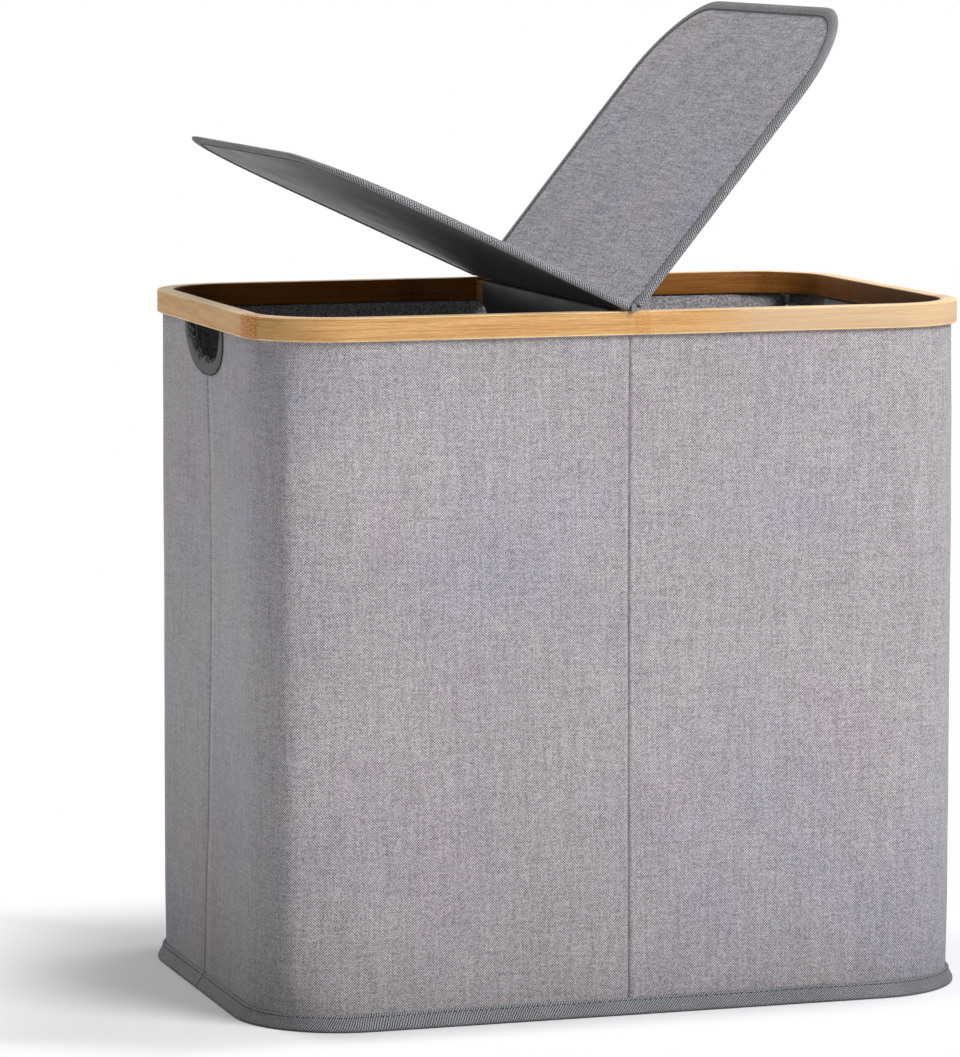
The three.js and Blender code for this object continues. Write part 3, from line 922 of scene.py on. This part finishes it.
def trim_point(p, a, out, thick):
    """A point of the binding, with its torn edge and pucker."""
    y, z = p + a * out
    torn = ripple((y, z, 0.3 * thick), 7.0, 23) + 0.8 * ripple((y, z, thick), 2.4, 29)
    y, z = p + a * (out + FRAY * math.exp(-max(out, 0.0) / FRAY_REACH) * torn)
    z = min(z, -0.35) + RIM_BOTTOM
    pucker = 0.45 * ripple((y, z, thick), 6, 21) if abs(thick) > TRIM_HALF + 0.2 else 0.0
    return wall_middle_x(y, z) + thick + pucker, y, z


def trim_thread_point(p, a):
    y, z = p + a * (TRIM_WIDTH + 0.1)
    z = min(z, -0.8) + RIM_BOTTOM
    return wall_middle_x(y, z) + TRIM_HALF + 0.25, y, z


def make_trims():
    outline = handle_outline(0.0, -0.4)
    run = lengths(outline)
    evenly = np.linspace(0, run[-1], TRIM_STEPS)
    fine = np.column_stack([np.interp(evenly, run, outline[:, i]) for i in range(2)])
    tangent = unit(np.gradient(fine, axis=0))
    away = np.column_stack([-tangent[:, 1], tangent[:, 0]])
    away[np.sum(away * (fine - [0, -10]), axis=1) < 0] *= -1
    rings = np.array([[trim_point(p, a, *corner) for corner in trim_section()] for p, a in zip(fine, away)])
    path = np.array([trim_thread_point(p, a) for p, a in zip(fine, away)])
    for side, word in SIDES:
        mirror = np.array([side, 1.0, 1.0])
        trim = tube(f"hand_hole_trim_{word}", TRIM, 50, rings * mirror, lengths(fine))
        ride(trim, "twill_tape", f"handle_trim_{word}")
        # Large dark stitches just outside each trim: real stitching whose darkness also paints the shade of
        # the groove round the trim
        stitches(f"hand_hole_stitches_{word}", path * mirror, (side, 0.0, 0.0), gap=0.5, radius=0.6)


make_walls()
make_linings()
make_trims()


# Base and hem

BASE_CLOTH = 1.4
FOLD_DEPTH = 0.8
FOLD_WIDTH = 3.0


def level_sheet(name, material, node, half_x, half_y, radius, low, high, sag=None):
    """A level sheet of cloth with rounded corners, between two heights."""
    corner = half_x - radius
    xs = np.concatenate([np.linspace(0, corner, 21),
                         corner + radius * np.sin(np.radians(np.linspace(0, 88, 16)[1:]))])
    xs = np.concatenate([-xs[::-1], xs[1:]])
    over = np.clip(np.abs(xs) - corner, 0, radius)
    reach = half_y - radius + np.sqrt(radius ** 2 - over ** 2)
    ys = reach[:, None] * np.linspace(-1, 1, 31)[None]
    top = np.stack([np.repeat(xs[:, None], ys.shape[1], 1), ys, np.full_like(ys, high)], axis=-1)
    if sag is not None:
        top[:, :, 2] += np.array([[sag(x, y) for x, y, _ in row] for row in top])
    bottom = top.copy()
    bottom[:, :, 2] = low
    ride(slab(name, material, 40, top, bottom, top[:, :, :2]), "lining_cloth", node)


def base_fold(x, y):
    """The crease along which the base folds, and the lining's unevenness."""
    return -FOLD_DEPTH * math.exp(-(x / FOLD_WIDTH) ** 2) + 0.12 * ripple((x, y, 0), 40, 5)


def make_base():
    inset = BASE_INSET + 0.3
    level_sheet("base_cloth_sheet", UNDER, "base_cloth", HALF_X - inset, HALF_Y - inset, BASE_RADIUS, 0.0,
                BASE_CLOTH)
    low, high = span("base_lining")
    level_sheet("base_lining_sheet", INSIDE, "base_lining", high[0] - 1, high[1] - 1,
                RIM_RADIUS - LINING_INSET - 2, low[2], high[2] - 0.15, sag=base_fold)
    for _, word in SIDES:
        finish_node(f"base_board_{word}", BOARD)


HEM_REACH = BASE_INSET + span("hem_binding")[1][0] - HALF_X
HEM_RADIUS = 90.0
HEM_RISE = 12.8
# Half the gap where the hem's ends meet, in the middle of the left side
HEM_GAP = 0.8
# The upper points of the hem's section, which lift with its unevenness, and by what share each does
HEM_LIFT_SHARES = np.array([0.5, 1, 1, 1, 1, 0.8, 0.5, 0.2])


def hem_rings(stations):
    """Rings of the hem: binding folded over the seam allowance, standing out at the floor."""
    reach, rise = HEM_REACH, HEM_RISE
    profile = [
        (0.1, rise - 2.2), (0.8, rise - 0.2), (1.6, rise + 0.1), (2.7, rise - 0.7),
        (reach * 0.55, rise * 0.62), (reach * 0.8, rise * 0.38), (reach * 0.95, rise * 0.22),
        (reach, rise * 0.12), (reach * 0.97, 0.5), (reach * 0.86, 0.05), (reach * 0.5, 0.0), (0.15, 0.0),
        (0.15, rise * 0.5)]
    rings = []
    for out, z in profile:
        radius = BASE_RADIUS + out / reach * (HEM_RADIUS - BASE_RADIUS)
        flat = place(stations, HALF_X - BASE_INSET + out, HALF_Y - BASE_INSET + out, radius)
        rings.append(np.column_stack([flat, np.full(len(flat), z)]))
    rings = np.stack(rings, axis=1)
    for ring in rings:
        x, y, _ = ring[4]
        lift = 0.5 * ripple((x, y, 0), 60, 31) + 0.25 * ripple((x, y, 0), 17, 33)
        ring[:len(HEM_LIFT_SHARES), 2] += lift * HEM_LIFT_SHARES
    return rings


def make_hem():
    stations = loop_stations(arc_steps=30, straight_steps=24)
    stations = np.vstack([stations, stations[:1]])
    rings = hem_rings(stations)
    rings[0, :, 1] = -HEM_GAP
    rings[-1, :, 1] = HEM_GAP
    rings[0, :8, 0] -= 0.4
    hem = tube("hem_tape", TAPE, 55, rings, lengths(rings[:, 7]))
    # The end faces where the hem's two ends meet take the dark thread material: painted shade in the gap
    # between them
    hem.data.materials.append(THREAD)
    for face in hem.data.polygons:
        if abs(face.normal.y) > 0.9 and abs(face.center.y) < 2 * HEM_GAP * MM:
            face.material_index = 1
    ride(hem, "twill_tape", "hem_binding")
    path = rings[:, 3] * 0.72 + rings[:, 4] * 0.28
    outward = np.column_stack([stations[:, 2:], np.full(len(stations), 0.9)])
    stitches("hem_stitches", path + outward * 0.15, outward)


make_base()
make_hem()


# Corner rods, each in a cloth sleeve with a plastic foot and cap

ROD_EDGE = 0.5
CAP_WALL = 1.2


def make_turned(name, profile, centre, material, slot, node, angle=50, sides=24):
    """A closed turned shape: profile of radius and height, from the axis to the axis or closed."""
    rings = []
    for turn in np.radians(np.linspace(0, 360, sides, endpoint=False)):
        c, s = math.cos(turn), math.sin(turn)
        rings.append([(centre[0] + r * c, centre[1] + r * s, z) for r, z in profile])
    around = np.linspace(0, 2 * math.pi * max(r for r, _ in profile), sides + 1)
    sheets = Sheets()
    sheets.grid(np.array(rings), uv_grid(around, lengths(np.array(profile))), wrap_u=True)
    ride(sheets.make(name, material, angle), slot, node)


def sized(node):
    """Radius, lowest height and highest height of an upright turned node."""
    low, high = span(node)
    return (high - low)[0] / 2, low[2], high[2]


def make_rod(word):
    low, high = span(f"corner_rod_{word}")
    centre = (low + high)[:2] / 2
    rod, bottom, top = sized(f"corner_rod_{word}")
    profile = [(0, bottom), (rod - ROD_EDGE, bottom), (rod, bottom + ROD_EDGE), (rod, top - ROD_EDGE),
               (rod - ROD_EDGE, top), (0, top)]
    make_turned(f"rod_{word}", profile, centre, METAL, "rod_metal", f"corner_rod_{word}")

    sleeve, bottom, top = sized(f"rod_sleeve_{word}")
    bore = rod + 0.45
    heights = np.linspace(bottom, top, 60)
    outer = [(sleeve - 0.15 + 0.12 * ripple((centre[0], 0, z), 16, 41), z) for z in heights]
    outer[0] = (sleeve - 0.35, bottom)
    outer[-1] = (sleeve - 0.35, top)
    profile = [(bore, bottom)] + outer + [(bore, top), (bore, bottom)]
    make_turned(f"sleeve_{word}", profile, centre, INSIDE, "lining_cloth", f"rod_sleeve_{word}")

    for part, up in (("foot", 1), ("cap", -1)):
        cap, bottom, top = sized(f"rod_{part}_{word}")
        floor, rim = (bottom, top)[::up]
        profile = [(0, floor), (cap - 0.8, floor), (cap, floor + up * 0.8), (cap, rim - up * 0.5),
                   (cap - 0.4, rim), (rod + 0.4, rim), (rod + 0.35, floor + up * CAP_WALL),
                   (0, floor + up * CAP_WALL)]
        make_turned(f"end_{part}_{word}", profile, centre, PLASTIC, "cap_plastic", f"rod_{part}_{word}", 35)


for _, _, corner_word in CORNERS:
    make_rod(corner_word)


# Divider

# How much the divider's section is grown for its cover's outer face and for its inner one
DIVIDER_OUTSIDE = 1.3
DIVIDER_INSIDE = 0.1
# The cover's seams lie this far below the rim's lower face
DIVIDER_SEAM_DROP = 26
BOARD_HALF = span("divider_board")[1][0]


def divider_section(offset, wave):
    """The cover's outline across the bar, in X and height, grown by an offset."""
    low, high = span("divider_cover")
    bar = span("crossbar")[1][0] + 0.3 + offset
    board = BOARD_HALF + 0.3 + offset
    top, bottom = high[2] - 1.4 + offset, low[2] + 1.4 - offset
    drop = RIM_BOTTOM - 0.3
    half = [(board, bottom), (board + wave * 0.4, 180), (board, 380), (board, drop - 34),
            (board + 0.15, drop - 22), (board + 1.0, drop - 14), (bar * 0.62, drop - 6.5),
            (bar - 0.5, drop - 1.5), (bar, drop + 1.5), (bar, top - 2.2), (bar - 0.7, top - 0.7),
            (bar - 2.2, top)]
    return np.array(half + [(-x, z) for x, z in half[::-1]])


def make_divider_sleeve():
    low, high = span("divider_cover")
    ys = np.linspace(low[1], high[1], 60)
    outer, inner = [], []
    for y in ys:
        wave = ripple((0, y, 0), 45, 51)
        out = divider_section(DIVIDER_OUTSIDE, wave)
        for point in out:
            if RIM_BOTTOM - 60 < point[1] < RIM_BOTTOM + 6:
                point[0] += 0.5 * ripple((point[0], y, point[1]), 16, 53) * np.sign(point[0])
        outer.append(upright(out, y))
        inner.append(upright(divider_section(DIVIDER_INSIDE, wave), y))
    outer, inner = np.array(outer), np.array(inner)
    across = round_lengths(outer[30])
    uv = uv_grid(ys - ys[0], across)
    sheets = Sheets()
    sheets.grid(outer, uv, wrap_v=True)
    sheets.grid(inner, uv, wrap_v=True, flip=True)
    for k in (0, -1):
        strip = np.stack([outer[k], inner[k]], axis=1)
        sheets.grid(strip, uv_grid(across, np.array([0.0, 1.0])), wrap_u=True)
    cover = ride(sheets.make("divider_sleeve", SLEEVE_SHADED, 45), "dark_cloth", "divider_cover")


def make_hook_strip():
    low, high = span("divider_hook_tape")
    xs, ys = np.linspace(low[0], high[0], 9), np.linspace(low[1], high[1], 60)
    flat = uv_grid(xs, ys)
    rounding = 0.5 * np.abs(np.linspace(-1, 1, len(xs))) ** 6
    top = np.dstack([flat, high[2] - np.repeat(rounding[:, None], len(ys), 1)])
    bottom = np.dstack([flat, np.full(flat.shape[:2], low[2])])
    ride(slab("hook_strip", HOOKS, 60, top, bottom, flat), "hook_tape", "divider_hook_tape")


def make_divider_stitches():
    low, high = span("divider_cover")
    rows = np.linspace(low[1] + 3, high[1] - 3, 40)
    for side, word in SIDES:
        path = np.array([(side * (BOARD_HALF + 1.7), y, RIM_BOTTOM - DIVIDER_SEAM_DROP) for y in rows])
        stitches(f"divider_stitches_{word}", path, (side, 0.0, 0.0), "dark_cloth")


make_divider_sleeve()
finish_node("divider_board", BOARD)
make_hook_strip()
make_divider_stitches()


# Lid flaps

LID_BINDING = 10.5
LID_TAPE = 0.85
LID_PUFF = 0.7
LID_RADII = {"left": 70.5, "right": 80.0}
# The flap gets thinner towards its free end: over this length, down to this share of its thickness
LID_TAPER = 90.0
LID_END_SHARE = 0.62
# How far each flap is bent up at its front edge, its back edge and its free end, and what it is longer by
BENDS = {"left": (1.8, 0.0, 0.0), "right": (-0.3, 1.2, 1.8)}
LONGER = {"left": -3.6, "right": 2.4}
# Gap between the rim and a flap that is closed on it
CLOSED_GAP = 0.5


class Lid:
    """A flap in its own coordinates: out from the hinge, along Y, and up from its top face."""

    def __init__(self, word):
        self.word = word
        self.body = f"lid_{word}"
        self.radius = LID_RADII[word]
        self.side = -1 if word == "left" else 1
        joint = HINGES[self.body]
        self.pivot = np.array(joint["pos_m"]) / MM
        self.angle = math.radians(-joint["range_deg"][0])
        low, high = span(f"lid_{word}_binding")
        self.depth = high[1] - low[1]
        self.thickness = self.pivot[2] - RIM_TOP - CLOSED_GAP
        reach = (high[0] - self.pivot[0]) if self.side > 0 else (self.pivot[0] - low[0])
        self.length = (reach - self.thickness * math.sin(self.angle)) / math.cos(self.angle) + LONGER[word]

    def bow(self, out, y):
        """Height that the stiff board is bent up by."""
        front, back, end = BENDS[self.word]
        forward = np.clip(0.5 - y / self.depth, 0, 1)
        share = np.clip(out / self.length, 0, 1)
        return (front * forward + back * (1 - forward)) * math.sin(math.pi * share) + end * share ** 2

    def world(self, out, y, up):
        thin = 1 - (1 - LID_END_SHARE) * np.clip((out - self.length + LID_TAPER) / LID_TAPER, 0, 1)
        up = self.bow(out, y) + (up + self.thickness / 2) * thin - self.thickness / 2
        c, s = math.cos(self.angle), math.sin(self.angle)
        return (self.pivot[0] + self.side * (out * c - up * s), y, self.pivot[2] + out * s + up * c)

    def outline(self, inset, straight=14, corner=22):
        """Open outline (n, 2) from the hinge at the front, round the free end, to the hinge at the back."""
        r = self.radius - inset
        x, y = self.length - self.radius, self.depth / 2 - self.radius
        side = np.linspace(0.0, x, straight + 1)[:-1]
        end = np.linspace(-y, y, straight + 1)[1:-1]
        return np.vstack([
            np.column_stack([side, np.full(len(side), inset - self.depth / 2)]),
            arc((x, -y), r, -90, 0, corner),
            np.column_stack([np.full(len(end), self.length - inset), end]),
            arc((x, y), r, 0, 90, corner),
            np.column_stack([side[::-1], np.full(len(side), self.depth / 2 - inset)]),
        ])

    def plate(self, inset, top, bottom, hinge_inset, swell, roll):
        """A closed plate inside the outline, with rows that follow its width."""
        r = self.radius - inset
        x = self.length - self.radius
        outs = np.concatenate([np.linspace(hinge_inset, x, 26),
                               x + r * np.sin(np.radians(np.linspace(0, 90, 18)[1:]))])
        over = np.clip(outs - x, 0, r)
        half = self.depth / 2 - self.radius + np.sqrt(np.maximum(r ** 2 - over ** 2, 0))
        even = np.linspace(-1, 1, 41)
        shares = np.sin(even * math.pi / 2) * 0.35 + even * 0.65
        grids = []
        for up, sign in ((top, 1), (bottom, -1)):
            grid = np.zeros((len(outs), len(shares), 3))
            for i, out in enumerate(outs):
                for j, share in enumerate(shares):
                    rim = min(self.length - inset - out if out > x else 99.0, half[i] * (1 - abs(share)))
                    edge = math.exp(-max(rim, 0.0) / 3.0)
                    middle = (1 - share ** 2) * math.sin(math.pi * min(out / self.length, 1.0))
                    lift = swell * middle - roll * edge
                    lift += 0.12 * ripple((out, half[i] * share, 3 * sign), 34, 61) * (1 - edge)
                    grid[i, j] = self.world(out, half[i] * share, up + sign * lift)
            grids.append(grid)
        uv = np.stack([np.repeat(outs[:, None], len(shares), 1), half[:, None] * shares[None]], axis=-1)
        return grids[0], grids[1], uv


def make_lid(word):
    lid = Lid(word)
    h = lid.thickness
    cloth_inset = LID_BINDING + 0.15
    for name, inset, top, bottom, hinge, swell, roll, material, slot in (
        ("board", 1.2, -1.6, -4.2, 1.2, 0.0, 0.0, BOARD, "stiff_board"),
        ("cover", cloth_inset, -0.35, -1.3, 0.0, 0.35, 0.45, COVER, "heather_cloth"),
        ("lining", cloth_inset, -h + 1.3, -h + 0.35, 0.0, 0.0, 0.45, DARK, "dark_cloth"),
    ):
        plate = slab(f"flap_{name}_{word}", material, 50, *lid.plate(inset, top, bottom, hinge, swell, roll))
        ride(plate, slot, f"lid_{word}_{name}", body=lid.body)
    make_lid_binding(lid)


def make_lid_binding(lid):
    """Twill tape folded round the flap's edge, with a row of stitches on each face."""
    h, w, tape, puff = lid.thickness, LID_BINDING, LID_TAPE, LID_PUFF
    section = [
        (w, -tape), (w, -0.3), (w - 0.7, -0.05), (w - 2.2, puff * 0.3), (w * 0.56, puff),
        (w * 0.36, puff * 0.6), (2.2, -0.15), (1.0, -0.85), (0.3, -1.8), (0.0, -h / 2), (0.3, 1.7 - h),
        (1.0, 0.75 - h), (2.4, -h),
        (w * 0.5, -h - puff * 0.4), (w - 0.7, -h), (w, 0.25 - h), (w, tape - h), (w * 0.5, tape - h),
        (1.25, tape - h), (0.9, -h / 2), (1.25, -tape), (w * 0.5, -tape)]
    rings = np.array([[lid.world(out, y, up) for out, y in lid.outline(inset)] for inset, up in section])
    along = lengths(lid.outline(0.0))
    binding = tube(f"flap_binding_{lid.word}", TAPE, 50, np.swapaxes(rings, 0, 1), along)
    ride(binding, "twill_tape", f"lid_{lid.word}_binding", body=lid.body)
    # Dense rows of dark stitches by the binding's inner edge: real stitching whose darkness also paints the
    # shade in the crease between binding and cover
    line = lid.outline(w - 0.9)[1:-1]
    up_normal = np.array([-lid.side * math.sin(lid.angle), 0.0, math.cos(lid.angle)])
    for face, up, sign in (("top", 0.0, 1), ("bottom", -h, -1)):
        path = np.array([lid.world(out, y, up) for out, y in line])
        stitches(f"flap_stitches_{face}_{lid.word}", path, up_normal * sign, body=lid.body, gap=0.7,
                 radius=0.42)


make_lid("left")
make_lid("right")


# Cloth hinge: a strip on the crossbar and a fold of cloth from it on to each flap

HINGE_CLOTH_REACH = 9.0
HINGE_CLOTH_THICKNESS = 0.45


def make_centre_strip():
    low, high = span("lid_centre_strip")
    half, bottom, top = high[0], low[2], high[2]
    ys = np.linspace(low[1] + 0.5, high[1] - 0.5, 80)
    section = [(half, bottom), (half, top - 0.8), (half * 0.6, top - 0.15), (0, top - 0.05),
               (-half * 0.6, top - 0.15), (-half, top - 0.8), (-half, bottom), (0, bottom)]
    strip = tube("centre_strip", TAPE, 60, [upright(section, y) for y in ys], ys - ys[0])
    ride(strip, "twill_tape", "lid_centre_strip")


def make_hinge_cloth(word):
    lid = Lid(word)
    side = lid.side
    margin = LID_BINDING + 1
    ys = np.linspace(-lid.depth / 2 + margin, lid.depth / 2 - margin, 60)
    rings = []
    for y in ys:
        line = [(side * 0.1, lid.pivot[2] + 0.05), (side * 1.2, lid.pivot[2] + 0.08)]
        line += [lid.world(out, y, 0.0)[::2] for out in np.linspace(0.6, HINGE_CLOTH_REACH, 9)]
        line = np.array(line)
        tangent = unit(np.gradient(line, axis=0))
        normal = np.column_stack([-tangent[:, 1], tangent[:, 0]]) * side
        thick = np.full((len(line), 1), HINGE_CLOTH_THICKNESS)
        thick[-1] *= 0.35
        rings.append(upright(np.vstack([line + normal * thick, (line - normal * 0.05)[::-1]]), y))
    cloth = tube(f"hinge_cloth_{word}", COVER, 60, rings, ys - ys[0])
    tuple(np.array(lid.world(2.5, 0, 0.0)) * MM)
    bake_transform(cloth)


make_centre_strip()
make_hinge_cloth("left")
make_hinge_cloth("right")


# Stage, light and camera, in metres apart from the floor's mesh

WHITE = (255, 255, 255)
FLOOR_HALF = 3000.0
FLOOR_DROP = 0.0002
# The floor's colour in the light that it throws back, and its colour as the camera sees it
FLOOR_BOUNCE = (138, 138, 140)
FLOOR_SHOWN = (242, 243, 245)
# Where the floor fades to white: a direction in X and Y, and where along it the fade starts and ends
FLOOR_FADES = ((-1.0, 0.39, 0.36, 0.62), (1.0, 0.0, 0.31, 0.45), (0.0, -1.0, 0.205, 0.265),
               (0.0, 1.0, 0.22, 0.42), (-0.7, -1.0, 0.45, 0.56))
WORLD_STRENGTH = 0.19
LAMP_AIM_HEIGHT = 0.35
# Azimuth from the front, elevation, distance and size of each lamp, and the share of plain white
# that it gives a face turned to it
LAMPS = {
    "front_lamp": (27, 37, 2.5, 1.3, 0.88),
    "top_lamp": (105, 62, 3.0, 1.8, 0.34),
    "back_lamp": (-148, 40, 4.0, 2.0, 0.36),
    "low_lamp": (-48, 8, 4.2, 1.6, 0.05),
}
# Camera, from the photograph: turned to the object's left, and a little above it
CAMERA_YAW = math.radians(17.5697)
CAMERA_PITCH = math.radians(6.808)
CAMERA_DISTANCE = 4.459
CAMERA_LENS = 184.0
CAMERA_AIM_RIGHT = -0.0594
CAMERA_AIM_UP = 0.3673


def white_to_camera(tree, plain, white):
    """Shows white to camera, mirror and glass rays, and the plain shader to all others."""
    rays = add_node(tree, "LightPath").outputs
    seen = rays["Is Camera Ray"]
    for ray in ("Is Glossy Ray", "Is Transmission Ray"):
        seen = add_node(tree, "Math", {"operation": "MAXIMUM"}, (seen, rays[ray])).outputs[0]
    return add_node(tree, "MixShader", None, (seen, plain, white)).outputs[0]


def make_world():
    world = bpy.data.worlds.new("studio")
    bpy.context.scene.world = world
    world.use_nodes = True
    tree = world.node_tree
    plain = tree.nodes["Background"]
    feed(tree, plain.inputs["Color"], WHITE)
    plain.inputs["Strength"].default_value = WORLD_STRENGTH
    white = add_node(tree, "Background", Color=WHITE, Strength=1.0)
    shown = white_to_camera(tree, plain.outputs[0], white.outputs[0])
    feed(tree, tree.nodes["World Output"].inputs["Surface"], shown)


def make_floor():
    """A pale floor that keeps the hamper's shadow near it and fades to plain white further off."""
    half = FLOOR_HALF
    floor = new_object("floor", [(-half, -half, 0), (half, -half, 0), (half, half, 0), (-half, half, 0)],
                       [(0, 1, 2, 3)])
    floor.location.z = -FLOOR_DROP
    stuff = Shader("floor", 0.9, specular=0.0)
    stuff.colour(FLOOR_BOUNCE)
    tree = stuff.tree
    pale = add_node(tree, "BsdfDiffuse", Color=FLOOR_SHOWN)
    near = white_to_camera(tree, stuff.shader.outputs[0], pale.outputs[0])
    far = add_node(tree, "Emission", Color=WHITE)
    at = add_node(tree, "TexCoord").outputs["Object"]
    beyond = 0.0
    for way_x, way_y, start, end in FLOOR_FADES:
        reach = add_node(tree, "VectorMath", {"operation": "DOT_PRODUCT"}, (at, (way_x, way_y, 0.0)))
        beyond = Value(tree, reach.outputs["Value"]).ramp(start, end).by("MAXIMUM", beyond)
    shown = add_node(tree, "MixShader", None, (beyond, near, far.outputs[0]))
    feed(tree, tree.nodes["Material Output"].inputs["Surface"], shown.outputs[0])
    floor.data.materials.append(stuff.material)


def make_lamp(name, azimuth, elevation, distance, size, level):
    """A soft round lamp that shines on the hamper's middle."""
    turn, rise = math.radians(azimuth), math.radians(elevation)
    way = Vector((math.sin(turn) * math.cos(rise), -math.cos(turn) * math.cos(rise), math.sin(rise)))
    data = bpy.data.lights.new(name, "AREA")
    data.shape = "DISK"
    data.size = size
    data.energy = level * (math.pi * distance) ** 2
    obj = bpy.data.objects.new(name, data)
    bpy.context.scene.collection.objects.link(obj)
    obj.location = way * distance + Vector((0, 0, LAMP_AIM_HEIGHT))
    obj.rotation_euler = (-way).to_track_quat("-Z", "Y").to_euler()


def make_camera():
    ahead = Vector((math.sin(CAMERA_YAW) * math.cos(CAMERA_PITCH),
                    math.cos(CAMERA_YAW) * math.cos(CAMERA_PITCH), -math.sin(CAMERA_PITCH)))
    right = Vector((math.cos(CAMERA_YAW), -math.sin(CAMERA_YAW), 0))
    aim = Vector((0, 0, CAMERA_AIM_UP)) + right * CAMERA_AIM_RIGHT
    data = bpy.data.cameras.new("camera")
    data.lens = CAMERA_LENS
    data.sensor_width = 36
    data.clip_end = 100
    camera = bpy.data.objects.new("camera", data)
    camera.location = aim - ahead * CAMERA_DISTANCE
    camera.rotation_euler = ahead.to_track_quat("-Z", "Y").to_euler()
    bpy.context.scene.collection.objects.link(camera)
    bpy.context.scene.camera = camera


make_camera()
make_world()
make_floor()
for lamp_name, lamp in LAMPS.items():
    make_lamp(lamp_name, *lamp)
bpy.context.scene.view_settings.view_transform = "Standard"
